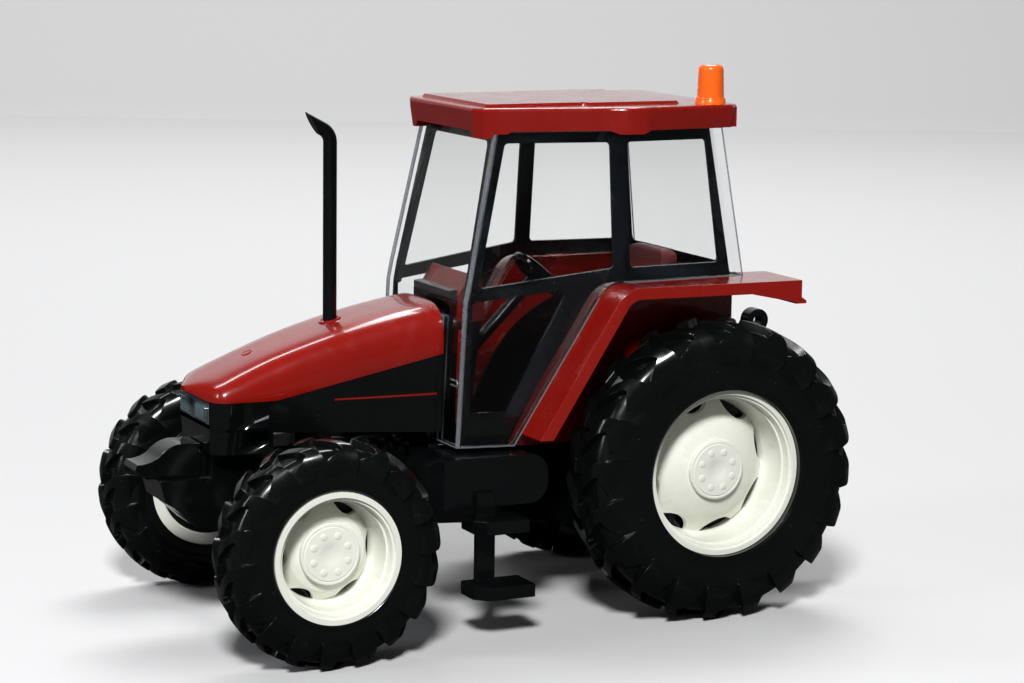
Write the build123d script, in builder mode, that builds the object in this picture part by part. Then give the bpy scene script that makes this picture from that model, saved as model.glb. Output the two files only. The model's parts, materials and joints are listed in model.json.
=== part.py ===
"""Toy farm tractor at 1:32: cab, four lugged wheels, steered front axle and rear lift arms.

Frame: +X forward, +Y to the driver's left, +Z up, origin on the ground under the
middle of the toy. Sizes are in millimetres. Each piece is its own solid and file.
"""

from build123d import *
from math import asin, cos, degrees, radians, sin
import os

os.makedirs("parts", exist_ok=True)

# ---------------------------------------------------------------- driving sizes
wheelbase = 71.4
front_reach = 22.8  # front axle to the front of the nose block
rear_reach = 30.5  # rear axle to the end of the lift arms
overall_length = front_reach + wheelbase + rear_reach
rear_axle_x = rear_reach - overall_length / 2
front_axle_x = rear_axle_x + wheelbase

fit_gap = 0.05  # radial clearance of pins and bores
skin_gap = 0.1  # clearance between curved pieces of one body
cutter_reach = 60.0  # cutting shapes run this far past the piece

# wheels
rear_tyre_radius = 25.5  # over the lug tips
rear_tyre_width = 13.6
rear_wheel_y = 24.65  # middle of the tyre
rear_rim_radius = 14.1
rear_lug_count = 20
rear_lug_high = 1.35
rear_lug_wide = 2.5
rear_window_count = 8
rear_first_window = 31.0  # degrees from +X towards +Z
front_tyre_radius = 18.35
front_tyre_width = 10.7
front_wheel_y = 29.35
front_rim_radius = 10.6
front_lug_count = 18
front_lug_high = 1.05
front_lug_wide = 2.1
front_window_count = 6
front_first_window = 58.0
axle_pin_radius = 1.6
stub_radius = 1.3

# front axle and steering
kingpin_y = 20.8
kingpin_radius = 1.0
fork_radius = 2.3
fork_gap_half = 2.2  # half the height between the fork's ears
fork_ear = 1.2
knuckle_gap = 0.1
steer_arm_length = 6.5
tie_pin_radius = 0.6

# bonnet
cab_front_x = rear_axle_x + 43.2
bonnet_rear_x = cab_front_x + 0.1  # just ahead of the glazing below the windscreen
firewall_x = cab_front_x - 1.2  # the firewall's front face
nose_x = front_axle_x + 11.5
bonnet_tip_x = front_axle_x + 13.7
nose_seam_x = front_axle_x + 1.4
bonnet_top_rear_z = 53.6
bonnet_top_mid_z = 47.8
bonnet_tip_z = 41.0
bonnet_split_rear_z = 45.4
bonnet_split_front_z = 39.2
bonnet_base_rear_z = 32.2
bonnet_base_front_z = 34.0
nose_base_z = 30.7
bonnet_rear_half = 10.6
bonnet_front_half = 9.0
nose_front_half = 7.3

# cab
cab_floor_z = 30.0
floor_thick = 1.2
door_base_z = 30.45
knee_z = 54.5
cab_top_z = 82.3
fender_top_z = 57.2
cab_half_front = 16.3  # at the windscreen's foot
cab_half_post = 21.0  # at the door's rear post
cab_half_rear = 19.2
post_x = rear_axle_x + 14.7
cab_rear_x = rear_axle_x - 8.5
cab_taper = 5.5  # lean of the cab's sides, degrees
glass_thick = 1.2
frame_thick = 0.8
clear_margin = 1.4  # bare glazing outside the black frame, ahead of the fender
frame_inset = glass_thick
room_inset = glass_thick + frame_thick

# fenders and tub
tub_wall_y = 16.0  # outer face of the tub's side walls
tub_wall_thick = 1.2
fender_foot_half = 25.0  # the fender widens from its foot to its tail
fender_bend_half = 27.3
fender_tail_half = 28.4
fender_thick = 1.3
fender_lip = 0.7
fender_foot_x = rear_axle_x + 33.5
fender_foot_z = 32.4
fender_bend_x = rear_axle_x + 17.9
fender_tail_x = rear_axle_x - 14.9
fender_tail_z = 53.2

# roof
roof_lean = 8.0  # lean of the roof's edges, degrees
roof_top_z = cab_top_z + 3.9
roof_panel_high = 0.5
roof_tab_z = cab_top_z - 1.1  # underside of the tabs at the roof's front corners
roof_bump_z = cab_top_z - 0.6  # underside of the bumps over the door posts

# running gear under the cab
chassis_half = 7.5
chassis_base_z = 14.0
tank_top_z = 29.6
tank_base_z = 21.3
tank_outer_y = 21.2
step_outer_y = 28.0


def mirrored(piece, name):
    """The right-hand twin of a left-hand piece."""
    with BuildPart() as twin:
        mirror(piece, about=Plane.XZ)
    return finish(twin, name)


def across(points):
    """Close a half outline about the X axis."""
    return points + [(x, -y) for x, y in reversed(points)]


def finish(builder, name):
    """Label a finished piece and write its file."""
    builder.part.label = name
    export_step(builder.part, f"parts/{name}.step")
    return builder.part


# ---------------------------------------------------------------- wheels
def tyre(center, radius, width, seat, lugs, lug_high, lug_wide):
    """A lugged tyre on the Y axis through center; the outer side faces +Y.

    Each lug is a bar swept back from the middle of the tread, with a curved fin that runs
    down the side wall to a point. All lugs are cut to one turned envelope.
    """
    half = width / 2
    crown = radius - lug_high
    fin_tip = radius - 4.7 * lug_high
    fin_deep = radius - fin_tip
    pitch = 360 / lugs
    section = Plane(origin=center, x_dir=(0, 1, 0), z_dir=(1, 0, 0))
    spin = Axis(center, (0, 1, 0))
    with BuildPart() as envelope:
        with BuildSketch(section):
            with BuildLine():
                Polyline(
                    (0, seat + 1),
                    (0, radius),
                    (0.62 * half, 0.98 * radius),
                    (0.93 * half, radius - 1.6 * lug_high),
                    (half, radius - 3.0 * lug_high),
                    (0.95 * half, fin_tip),
                    (0, seat + 1),
                    close=True,
                )
            make_face()
            mirror(about=Plane.YZ)
        revolve(axis=spin)
    lead_x = 0.28 * half
    trail_x = -0.52 * half
    foot_back_x = trail_x - lug_wide / 2
    back_turn = degrees(asin(foot_back_x / radius))
    # The fin's outline: turn ahead of its straight rear edge, and reach from the axle.
    fin_outline = [
        (0.0, radius + lug_high),
        (0.0, fin_tip),
        (0.05 * pitch, fin_tip),
        (0.20 * pitch, radius - 0.64 * fin_deep),
        (0.49 * pitch, radius - 0.46 * fin_deep),
        (0.80 * pitch, radius - 0.40 * fin_deep),
        (0.84 * pitch, crown - 0.8 * lug_high),
        (0.45 * pitch, crown + 0.2 * lug_high),
        (0.15 * pitch, radius),
    ]
    lug_rows = []
    for side in (1, -1):
        with BuildPart() as lug:
            with BuildSketch(Plane(origin=center).offset(crown - 1.5 * lug_high)):
                Polygon(
                    (lead_x + lug_wide / 2, -side * 0.06 * half),
                    (lead_x - lug_wide / 2, -side * 0.06 * half),
                    (-0.36 * half - lug_wide / 2, side * 0.72 * half),
                    (foot_back_x, side * 1.1 * half),
                    (trail_x + lug_wide, side * 1.1 * half),
                    (-0.32 * half + lug_wide / 2, side * 0.66 * half),
                    align=None,
                )
            extrude(amount=radius)
            fin_face = Plane(origin=center, x_dir=(1, 0, 0), z_dir=(0, -1, 0))
            with BuildSketch(fin_face.offset(-side * 0.7 * half)):
                Polygon(
                    *[
                        (reach * sin(radians(back_turn + turn)), reach * cos(radians(back_turn + turn)))
                        for turn, reach in fin_outline
                    ],
                    align=None,
                )
            extrude(amount=-side * half)
            add(envelope.part, mode=Mode.INTERSECT)
        offset_turn = 0 if side == 1 else 180 / lugs
        for step in range(lugs):
            lug_rows.append(lug.part.rotate(spin, offset_turn + 360 * step / lugs))
    bead = 0.86 * half
    bulge = 0.91 * half
    shoulder = 0.83 * half
    with BuildPart() as body:
        with BuildSketch(section):
            with BuildLine():
                Polyline(
                    (0, seat),
                    (bead, seat),
                    (bulge, seat + 0.3 * (crown - seat)),
                    (bulge, seat + 0.65 * (crown - seat)),
                    (shoulder, crown - 0.9 * lug_high),
                    (0.6 * half, crown - 0.1 * lug_high),
                    (0, crown),
                    close=True,
                )
            make_face()
            mirror(about=Plane.YZ)
        revolve(axis=spin)
        add(lug_rows)
    return body


def rim(center, radius, tyre_width, hub_bore, hub_radius, lip_y, hub_y, disc_y, windows, first):
    """A dished rim: stepped barrel, domed disc with lens-shaped windows, capped hub.

    lip_y, hub_y and disc_y are the places of the lip's, the hub cap's and the disc's
    outer faces, measured from the wheel's middle towards the outer side (+Y).
    """
    half = tyre_width / 2
    inner_y = -0.78 * half
    boss_y = -0.66 * half
    disc_thick = 1.2
    wall = 1.7
    boss_radius = hub_bore + 1.3
    window_out = radius - 2.6
    window_in = 0.83 * window_out
    window_turn = radians(16)
    crease_radius = (hub_radius + window_out) / 2
    crease_y = hub_y - 0.35 * (hub_y - disc_y)
    section = Plane(origin=center, x_dir=(0, 1, 0), z_dir=(1, 0, 0))
    face = Plane(origin=center, x_dir=(1, 0, 0), z_dir=(0, 1, 0))
    with BuildPart() as body:
        with BuildSketch(section):
            with BuildLine():
                Polyline(
                    (inner_y, radius - wall),
                    (inner_y, radius),
                    (lip_y, radius),
                    (lip_y, radius - 0.9),
                    (lip_y - 0.5, radius - 1.0),
                    (lip_y - 0.5, radius - 1.35),
                    (lip_y - 2.0, radius - 1.5),
                    (lip_y - 2.0, radius - 1.85),
                    (disc_y + 1.4, radius - 2.05),
                    (disc_y, window_out),
                    (crease_y, crease_radius),
                    (hub_y - 0.5, hub_radius + 0.35),
                    (hub_y - 0.5, hub_radius),
                    (hub_y, hub_radius - 0.25),
                    (hub_y, 0),
                    (0, 0),
                    (0, hub_bore),
                    (boss_y, hub_bore),
                    (boss_y, boss_radius),
                    (hub_y - 0.5 - 1.3 * disc_thick, boss_radius),
                    (crease_y - disc_thick, crease_radius),
                    (disc_y - disc_thick, window_out),
                    (disc_y - 1.5 * disc_thick, radius - wall),
                    close=True,
                )
            make_face()
        revolve(axis=Axis(center, (0, 1, 0)))
        # A window is where a circle through its inner edge and corners meets the barrel.
        reach = (window_out**2 - window_in**2) / (2 * (window_out * cos(window_turn) - window_in))
        with BuildSketch(face.offset(disc_y - 2 * disc_thick)):
            with PolarLocations(reach, windows, start_angle=-first):
                Circle(reach - window_in)
            Circle(window_out, mode=Mode.INTERSECT)
        extrude(amount=4 * disc_thick, mode=Mode.SUBTRACT)
        with BuildSketch(face.offset(hub_y)):
            with PolarLocations(0.72 * hub_radius, 8):
                Circle(0.15 * hub_radius)
        extrude(amount=0.3)
    return body


rear_center = (rear_axle_x, rear_wheel_y, rear_tyre_radius)
front_center = (front_axle_x, front_wheel_y, front_tyre_radius)

rear_tyre = finish(
    tyre(rear_center, rear_tyre_radius, rear_tyre_width, rear_rim_radius + fit_gap,
         rear_lug_count, rear_lug_high, rear_lug_wide),
    "tyre_rear_left",
)
mirrored(rear_tyre, "tyre_rear_right")
front_tyre = finish(
    tyre(front_center, front_tyre_radius, front_tyre_width, front_rim_radius + fit_gap,
         front_lug_count, front_lug_high, front_lug_wide),
    "tyre_front_left",
)
mirrored(front_tyre, "tyre_front_right")
rear_rim = finish(
    rim(rear_center, rear_rim_radius, rear_tyre_width, axle_pin_radius + fit_gap,
        hub_radius=5.1, lip_y=4.85, hub_y=2.0, disc_y=-2.65,
        windows=rear_window_count, first=rear_first_window),
    "rim_rear_left",
)
mirrored(rear_rim, "rim_rear_right")
front_rim = finish(
    rim(front_center, front_rim_radius, front_tyre_width, stub_radius + fit_gap,
        hub_radius=4.6, lip_y=4.93, hub_y=1.05, disc_y=-2.0,
        windows=front_window_count, first=front_first_window),
    "rim_front_left",
)
mirrored(front_rim, "rim_front_right")

# ---------------------------------------------------------------- running gear
rear_axle_z = rear_tyre_radius
front_axle_z = front_tyre_radius
engine_rear_x = bonnet_rear_x + 1.0
engine_front_x = front_axle_x - 3.4
engine_half = 6.6
frame_half = 5.0
frame_base_z = 23.4
trumpet_end_y = rear_wheel_y - 0.66 * rear_tyre_width / 2 - 0.4
sump_z = 17.8

# rear linkage
gearbox_rear_x = rear_axle_x - 10.0
lift_pivot_x = gearbox_rear_x - 2.5
lift_pivot_z = 19.4
lift_pin_radius = 0.9
ear_radius = 1.9
ear_outer_y = 4.4
ear_thick = 1.2


def panel_base_z(x):
    """Height of the bonnet side panels' lower edge at a place along the toy."""
    share = (x - bonnet_rear_x) / (nose_seam_x - bonnet_rear_x)
    return bonnet_base_rear_z + share * (bonnet_base_front_z - bonnet_base_rear_z)


# Rear axle housing: one casting with the gearbox under the cab floor.
with BuildPart() as gearbox:
    with BuildSketch(Plane.XZ):
        with BuildLine():
            Polyline(
                (gearbox_rear_x, rear_axle_z - 7.5),
                (rear_axle_x + 12.0, chassis_base_z),
                (engine_rear_x, chassis_base_z + 2.0),
                (engine_rear_x, cab_floor_z),
                (rear_axle_x - 8.0, cab_floor_z),
                (gearbox_rear_x, cab_floor_z - 3.0),
                close=True,
            )
        make_face()
    extrude(amount=chassis_half, both=True)
    fillet(gearbox.edges().filter_by(Axis.X), 1.2)
    for radius, reach in ((4.4, 13.0), (3.4, trumpet_end_y)):
        with BuildSketch(Plane.XZ.offset(-reach)):
            with Locations((rear_axle_x, rear_axle_z)):
                Circle(radius)
        extrude(amount=2 * reach)
    with BuildSketch(Plane.XZ.offset(-trumpet_end_y)):
        with Locations((rear_axle_x, rear_axle_z)):
            Circle(axle_pin_radius)
    extrude(amount=2 * trumpet_end_y, mode=Mode.SUBTRACT)
    with BuildSketch(Plane.XZ.offset(-ear_outer_y)):
        with Locations((lift_pivot_x, lift_pivot_z)):
            Circle(ear_radius)
        with Locations((lift_pivot_x + 1.25, lift_pivot_z)):
            Rectangle(2.5, 2 * ear_radius)
    extrude(amount=2 * ear_outer_y)
    with BuildSketch(Plane.XZ.offset(-ear_outer_y + ear_thick)):
        with Locations((lift_pivot_x - 1.0, lift_pivot_z)):
            Rectangle(7.0, 2 * ear_radius)
    extrude(amount=2 * (ear_outer_y - ear_thick), mode=Mode.SUBTRACT)
    with BuildSketch(Plane.XZ.offset(-ear_outer_y)):
        with Locations((lift_pivot_x, lift_pivot_z)):
            Circle(lift_pin_radius + fit_gap)
    extrude(amount=2 * ear_outer_y, mode=Mode.SUBTRACT)
finish(gearbox, "gearbox")

# Steel pin through the gearbox; both rear wheels turn on its ends.
pin_end_y = rear_wheel_y - 0.3
with BuildPart() as rear_pin:
    with BuildSketch(Plane.XZ.offset(-pin_end_y)):
        with Locations((rear_axle_x, rear_axle_z)):
            Circle(axle_pin_radius)
    extrude(amount=2 * pin_end_y)
finish(rear_pin, "rear_axle_pin")

# Engine: crankcase, wider sump rail and ribbed side covers under the bonnet.
with BuildPart() as engine:
    with BuildSketch(Plane.XZ):
        with BuildLine():
            Polyline(
                (engine_rear_x, chassis_base_z + 2.0),
                (engine_front_x - 8.0, sump_z),
                (engine_front_x, sump_z + 3.4),
                (engine_front_x, panel_base_z(engine_front_x)),
                (engine_rear_x, panel_base_z(engine_rear_x)),
                close=True,
            )
        make_face()
    extrude(amount=engine_half, both=True)
    rib_pitch = (engine_front_x - engine_rear_x - 6.0) / 6
    with BuildSketch(Plane.XZ.offset(-engine_half - 0.9)):
        with Locations([(engine_rear_x + 5.0 + rib_pitch * step, 27.6) for step in range(6)]):
            Rectangle(1.4, 5.4)
    extrude(amount=2 * (engine_half + 0.9))
    with BuildSketch(Plane.XZ.offset(-engine_half - 1.3)):
        with Locations(((engine_rear_x + engine_front_x) / 2 - 1.0, 23.2)):
            Rectangle(engine_front_x - engine_rear_x - 5.0, 1.6)
    extrude(amount=2 * (engine_half + 1.3))
finish(engine, "engine")

# Front carrier: runs under the nose from the engine and holds the nose block on its end.
nose_block_base_z = 26.4
carrier_front_x = front_axle_x + 19.3
carrier_front_base_z = 22.7
axle_slot_z = front_axle_z + 2.6
belly_z = 17.4  # lowest point of the rounded belly behind the carrier's front end
with BuildPart() as carrier:
    with BuildSketch(Plane.XZ):
        with BuildLine():
            Polyline(
                (engine_front_x, frame_base_z),
                (front_axle_x - 3.0, frame_base_z),
                (front_axle_x - 2.2, axle_slot_z),
                (front_axle_x + 2.2, axle_slot_z),
                (front_axle_x + 3.0, frame_base_z),
                (front_axle_x + 6.4, belly_z + 1.2),
                (front_axle_x + 9.4, belly_z),
                (front_axle_x + 13.0, belly_z + 0.8),
                (carrier_front_x - 2.6, carrier_front_base_z - 1.0),
                (carrier_front_x - 1.0, carrier_front_base_z),
                (carrier_front_x, nose_block_base_z),
                (nose_x - 1.0, nose_block_base_z),
                (nose_x - 1.0, nose_base_z),
                (engine_front_x, nose_base_z),
                close=True,
            )
        make_face()
    extrude(amount=frame_half, both=True)
finish(carrier, "front_carrier")

# Front axle: tapered beam, differential and the forks that hold the steering knuckles.
with BuildPart() as beam:
    with BuildSketch(Plane.XZ.offset(-(kingpin_y - 3.4))):
        with Locations((front_axle_x, front_axle_z)):
            Rectangle(4.2, 5.2)
    extrude(amount=2 * (kingpin_y - 3.4))
    with Locations((front_axle_x, 1.8, front_axle_z - 0.6)):
        Sphere(3.2)
    fork_high = fork_gap_half + fork_ear
    with BuildSketch(Plane.XY.offset(front_axle_z - fork_high)):
        for side in (1, -1):
            with Locations((front_axle_x, side * kingpin_y)):
                Circle(fork_radius)
            with Locations((front_axle_x, side * (kingpin_y - 2.2))):
                Rectangle(2 * fork_radius, 4.4)
    extrude(amount=2 * fork_high)
    with BuildSketch(Plane.XY.offset(front_axle_z - fork_gap_half)):
        for side in (1, -1):
            with Locations((front_axle_x, side * (kingpin_y + 1.0))):
                Rectangle(2 * fork_radius + 4, 2 * (fork_radius + 1.2))
    extrude(amount=2 * fork_gap_half, mode=Mode.SUBTRACT)
    with BuildSketch(Plane.XY.offset(front_axle_z - fork_high)):
        with Locations((front_axle_x, kingpin_y), (front_axle_x, -kingpin_y)):
            Circle(kingpin_radius + fit_gap)
    extrude(amount=2 * fork_high, mode=Mode.SUBTRACT)
finish(beam, "front_axle_beam")

# Steering knuckle: kingpin, block between the fork's ears, stub axle and steering arm.
knuckle_half = fork_gap_half - knuckle_gap
stub_end_y = front_wheel_y - 0.3
arm_thick = 1.3
with BuildPart() as knuckle:
    with BuildSketch(Plane.XY.offset(front_axle_z - knuckle_half)):
        with Locations((front_axle_x, kingpin_y)):
            Circle(fork_radius - 0.3)
        with Locations((front_axle_x, kingpin_y + 1.4)):
            Rectangle(3.0, 2.4)
    extrude(amount=2 * knuckle_half)
    with BuildSketch(Plane.XY.offset(front_axle_z - fork_high)):
        with Locations((front_axle_x, kingpin_y)):
            Circle(kingpin_radius)
    extrude(amount=2 * fork_high)
    with BuildSketch(Plane.XZ.offset(-stub_end_y)):
        with Locations((front_axle_x, front_axle_z)):
            Circle(stub_radius)
    extrude(amount=stub_end_y - kingpin_y)
    with BuildSketch(Plane.XY.offset(front_axle_z - knuckle_half)):
        with Locations((front_axle_x - steer_arm_length / 2, kingpin_y)):
            SlotCenterToCenter(steer_arm_length, 2.2)
    extrude(amount=arm_thick)
    with BuildSketch(Plane.XY.offset(front_axle_z - knuckle_half - 1.8)):
        with Locations((front_axle_x - steer_arm_length, kingpin_y)):
            Circle(tie_pin_radius)
    extrude(amount=1.9)
finish(knuckle, "knuckle_left")
mirrored(knuckle.part, "knuckle_right")

# Tie rod: joins the two steering arms behind the beam.
tie_x = front_axle_x - steer_arm_length
tie_top_z = front_axle_z - knuckle_half - knuckle_gap
tie_thick = 1.5
with BuildPart() as tie_rod:
    with BuildSketch(Plane.XY.offset(tie_top_z - tie_thick)):
        with Locations((tie_x, 0)):
            Rectangle(1.5, 2 * kingpin_y)
        with Locations((tie_x, kingpin_y), (tie_x, -kingpin_y)):
            Circle(1.5)
        with Locations((tie_x, kingpin_y), (tie_x, -kingpin_y)):
            Circle(tie_pin_radius + fit_gap, mode=Mode.SUBTRACT)
    extrude(amount=tie_thick)
finish(tie_rod, "tie_rod")

# Nose block: the weight that sticks out under the nose, its top an S-curve.
nose_tip_x = front_axle_x + front_reach
nose_ridge_half = 3.0  # the top is level across to here, and slopes down beyond it
nose_block_half = 5.6
nose_slope_drop = 2.4
nose_block_top_z = 31.9
nose_side = nose_block_half - nose_ridge_half
with BuildPart() as nose_block:
    with BuildSketch(Plane.XZ.offset(-nose_ridge_half)) as nose_profile:
        with BuildLine():
            Polyline(
                (nose_tip_x - 7.4, nose_block_top_z),
                (nose_x + 0.2, nose_block_top_z),
                (nose_x + 0.2, nose_base_z - skin_gap),
                (nose_x - 1.0 + skin_gap, nose_base_z - skin_gap),
                (nose_x - 1.0 + skin_gap, nose_block_base_z),
                (nose_tip_x - 2.0, nose_block_base_z),
                (nose_tip_x, 28.0),
                (nose_tip_x - 0.4, 29.0),
            )
            hollow = ThreePointArc(
                (nose_tip_x - 0.4, 29.0), (nose_tip_x - 2.4, 29.2), (nose_tip_x - 4.0, 30.0)
            )
            ThreePointArc(
                hollow @ 1, (nose_tip_x - 5.6, nose_block_top_z - 0.6),
                (nose_tip_x - 7.4, nose_block_top_z),
            )
        make_face()
    extrude(amount=2 * nose_ridge_half)
    for side in (1, -1):
        outline = nose_profile.face().moved(Location((0, (side - 1) * nose_ridge_half, 0)))
        add(Solid.extrude(outline, Vector(0, side * nose_side, -nose_slope_drop)))
    with BuildSketch(Plane.XY.offset(nose_block_base_z)):
        Polygon(
            *across([
                (nose_x - 1.0, nose_block_half), (nose_tip_x - 2.6, nose_block_half),
                (nose_tip_x, nose_ridge_half),
            ]),
            align=None,
        )
    extrude(amount=nose_block_top_z - nose_block_base_z, mode=Mode.INTERSECT)
finish(nose_block, "nose_block")

# ---------------------------------------------------------------- bonnet
split_flat_x = front_axle_x + 1.0
exhaust_x = bonnet_rear_x + 16.0
exhaust_base_z = 49.2
exhaust_bend_z = 81.5  # where the pipe's two straight runs would meet
exhaust_lean = 62.0  # bend of the pipe's end, degrees
exhaust_end = 5.4  # length of the pipe beyond its bend
exhaust_radius = 1.15
plug_x = front_axle_x + 2.5
plug_z = 45.0
plug_radius = 0.7
bonnet_plan = [
    (bonnet_rear_x, bonnet_rear_half),
    (nose_x - 2.0, bonnet_front_half),
    (nose_x, nose_front_half),
]


with BuildPart() as bonnet:
    with BuildSketch(Plane.XZ):
        with BuildLine():
            ThreePointArc(
                (bonnet_rear_x, bonnet_top_rear_z),
                (front_axle_x - 3.3, bonnet_top_mid_z),
                (bonnet_tip_x, bonnet_tip_z),
            )
            Polyline(
                (bonnet_tip_x, bonnet_tip_z),
                (bonnet_tip_x - 0.4, bonnet_split_front_z),
                (split_flat_x, bonnet_split_front_z),
                (bonnet_rear_x, bonnet_split_rear_z),
                (bonnet_rear_x, bonnet_top_rear_z),
            )
        make_face()
    extrude(amount=bonnet_rear_half + 1, both=True)
    with BuildSketch(Plane.XY.offset(bonnet_split_front_z - 1)):
        Polygon(
            *across([
                (bonnet_rear_x, bonnet_rear_half + 0.15),
                (nose_x - 1.2, bonnet_front_half + 0.15),
                (bonnet_tip_x, 1.2),
            ]),
            align=None,
        )
    extrude(amount=30, mode=Mode.INTERSECT)
    top_edges = bonnet.edges().filter_by(
        lambda e: abs(e.center().Y) > 0.6 * bonnet_front_half
        and e.length > 0.4 * (nose_x - bonnet_rear_x)
        and e.center().Z > bonnet_split_rear_z
    )
    fillet(top_edges, 3.2)
    with BuildSketch(Plane.XY.offset(exhaust_base_z)):
        with Locations((exhaust_x, 0)):
            Circle(exhaust_radius + 0.75)
    extrude(amount=20, mode=Mode.SUBTRACT)
    with BuildSketch(Plane.XY.offset(exhaust_base_z - 1.2)):
        with Locations((exhaust_x, 0)):
            Circle(exhaust_radius + fit_gap)
    extrude(amount=3, mode=Mode.SUBTRACT)
    with BuildSketch(Plane.XY.offset(plug_z)):
        with Locations((plug_x, 0)):
            Circle(plug_radius)
    extrude(amount=5, mode=Mode.SUBTRACT)
finish(bonnet, "bonnet")

# Seams of the side panels: one upright, and one along the nose below the lamps.
seam_wide = 0.35
seam_deep = 0.25
nose_line_z = 34.6
with BuildPart() as panel_seams:
    with BuildSketch(Plane.XZ):
        with Locations((nose_seam_x + 0.6, 36.0)):
            Rectangle(seam_wide, 20)
        with Locations(((nose_seam_x + 0.6 + nose_x + 2) / 2, nose_line_z)):
            Rectangle(nose_x + 2 - nose_seam_x - 0.6, seam_wide)
    extrude(amount=bonnet_rear_half + 2, both=True)
    with BuildSketch(Plane.XY.offset(nose_base_z - 10)):
        Polygon(*across([(x, y - seam_deep) for x, y in bonnet_plan]), align=None)
    extrude(amount=50, mode=Mode.SUBTRACT)

with BuildPart() as side_panels:
    with BuildSketch(Plane.XZ):
        with BuildLine():
            Polyline(
                (bonnet_rear_x, bonnet_base_rear_z),
                (nose_seam_x, bonnet_base_front_z),
                (nose_seam_x, nose_base_z),
                (nose_x, nose_base_z),
                (nose_x, bonnet_split_front_z),
                (split_flat_x, bonnet_split_front_z),
                (bonnet_rear_x, bonnet_split_rear_z),
                close=True,
            )
        make_face()
    extrude(amount=bonnet_rear_half + 1, both=True)
    with BuildSketch(Plane.XY.offset(nose_base_z)):
        Polygon(*across(bonnet_plan), align=None)
    extrude(amount=30, mode=Mode.INTERSECT)
    with BuildSketch(Plane.YZ.offset(nose_x - 0.6)):
        with Locations((0, bonnet_split_front_z - 2.0)):
            Rectangle(2 * nose_front_half - 1.0, 3.4)
    extrude(amount=2, mode=Mode.SUBTRACT)
    add(panel_seams.part, mode=Mode.SUBTRACT)
finish(side_panels, "bonnet_side_panels")

# Headlamp panel: set into the nose, with two round-cornered lamps standing proud.
with BuildPart() as lamps:
    with BuildSketch(Plane.YZ.offset(nose_x - 0.6)):
        with Locations((0, bonnet_split_front_z - 2.0)):
            Rectangle(2 * nose_front_half - 1.0, 3.4)
    extrude(amount=0.7)
    with BuildSketch(Plane.YZ.offset(nose_x)):
        with Locations((-3.6, bonnet_split_front_z - 2.0), (3.6, bonnet_split_front_z - 2.0)):
            RectangleRounded(4.6, 2.6, 0.8)
    extrude(amount=0.5)
finish(lamps, "headlamps")

# Exhaust: upright pipe on the bonnet, its slash-cut end bent forward.
exhaust_axis = Vector(sin(radians(exhaust_lean)), 0, cos(radians(exhaust_lean)))
exhaust_corner = Vector(exhaust_x, 0, exhaust_bend_z)
with BuildPart() as exhaust:
    with BuildLine():
        FilletPolyline(
            (exhaust_x, 0, exhaust_base_z - 1.2),
            exhaust_corner,
            exhaust_corner + exhaust_axis * exhaust_end,
            radius=2.4,
        )
    with BuildSketch(Plane.XY.offset(exhaust_base_z - 1.2)):
        with Locations((exhaust_x, 0)):
            Circle(exhaust_radius)
    sweep()
    # The slash cut: from the tip of the upper side, steeply down to the lower side.
    tip_x = exhaust_x + exhaust_end * exhaust_axis.X - exhaust_radius * exhaust_axis.Z
    tip_z = exhaust_bend_z + exhaust_end * exhaust_axis.Z + exhaust_radius * exhaust_axis.X
    with BuildSketch(Plane.XZ):
        Polygon(
            (tip_x + 0.1, tip_z + 0.1), (tip_x - 2.4, tip_z - 4.3),
            (tip_x + 4.0, tip_z - 4.3), (tip_x + 4.0, tip_z + 0.1),
            align=None,
        )
    extrude(amount=3, both=True, mode=Mode.SUBTRACT)
finish(exhaust, "exhaust")

# ---------------------------------------------------------------- tub and fenders
firewall_thick = 1.2
fender_corners = [
    (fender_foot_x, door_base_z),
    (fender_bend_x, fender_top_z),
    (fender_tail_x, fender_top_z),
]


def fender_line():
    """The fender's upper line from its foot over the wheel to its tail."""
    return FilletPolyline(*fender_corners, radius=5.0)


with BuildPart() as under_fender:
    with BuildSketch(Plane.XZ):
        with BuildLine():
            top_line = fender_line()
            Polyline(
                top_line @ 1, (fender_tail_x, cab_floor_z), (fender_foot_x, cab_floor_z),
                top_line @ 0,
            )
        make_face()
    extrude(amount=fender_tail_half + 5, both=True)

# Tub: two side walls that rise to the fenders, a rear wall and a floor.
with BuildPart() as tub:
    inner_y = tub_wall_y - tub_wall_thick
    tub_front_x = fender_foot_x - 3.0
    with BuildSketch(Plane.XY.offset(cab_floor_z)):
        with Locations(((cab_rear_x + tub_front_x) / 2, 0)):
            Rectangle(tub_front_x - cab_rear_x, 2 * tub_wall_y)
    extrude(amount=floor_thick)
    with BuildSketch(Plane.XY.offset(cab_floor_z)):
        with Locations(((cab_rear_x + fender_foot_x) / 2, 0)):
            Rectangle(fender_foot_x - cab_rear_x, 2 * tub_wall_y)
        with Locations(((cab_rear_x + fender_foot_x) / 2 + tub_wall_thick, 0)):
            Rectangle(fender_foot_x - cab_rear_x, 2 * inner_y, mode=Mode.SUBTRACT)
    extrude(amount=fender_top_z - cab_floor_z)
    add(under_fender.part, mode=Mode.INTERSECT)
    with BuildSketch(Plane.XY.offset(cab_floor_z)):
        with Locations(((cab_rear_x + tub_front_x) / 2, 0)):
            Rectangle(tub_front_x - cab_rear_x, 2 * inner_y)
    extrude(amount=floor_thick)
finish(tub, "cab_tub")

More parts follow.
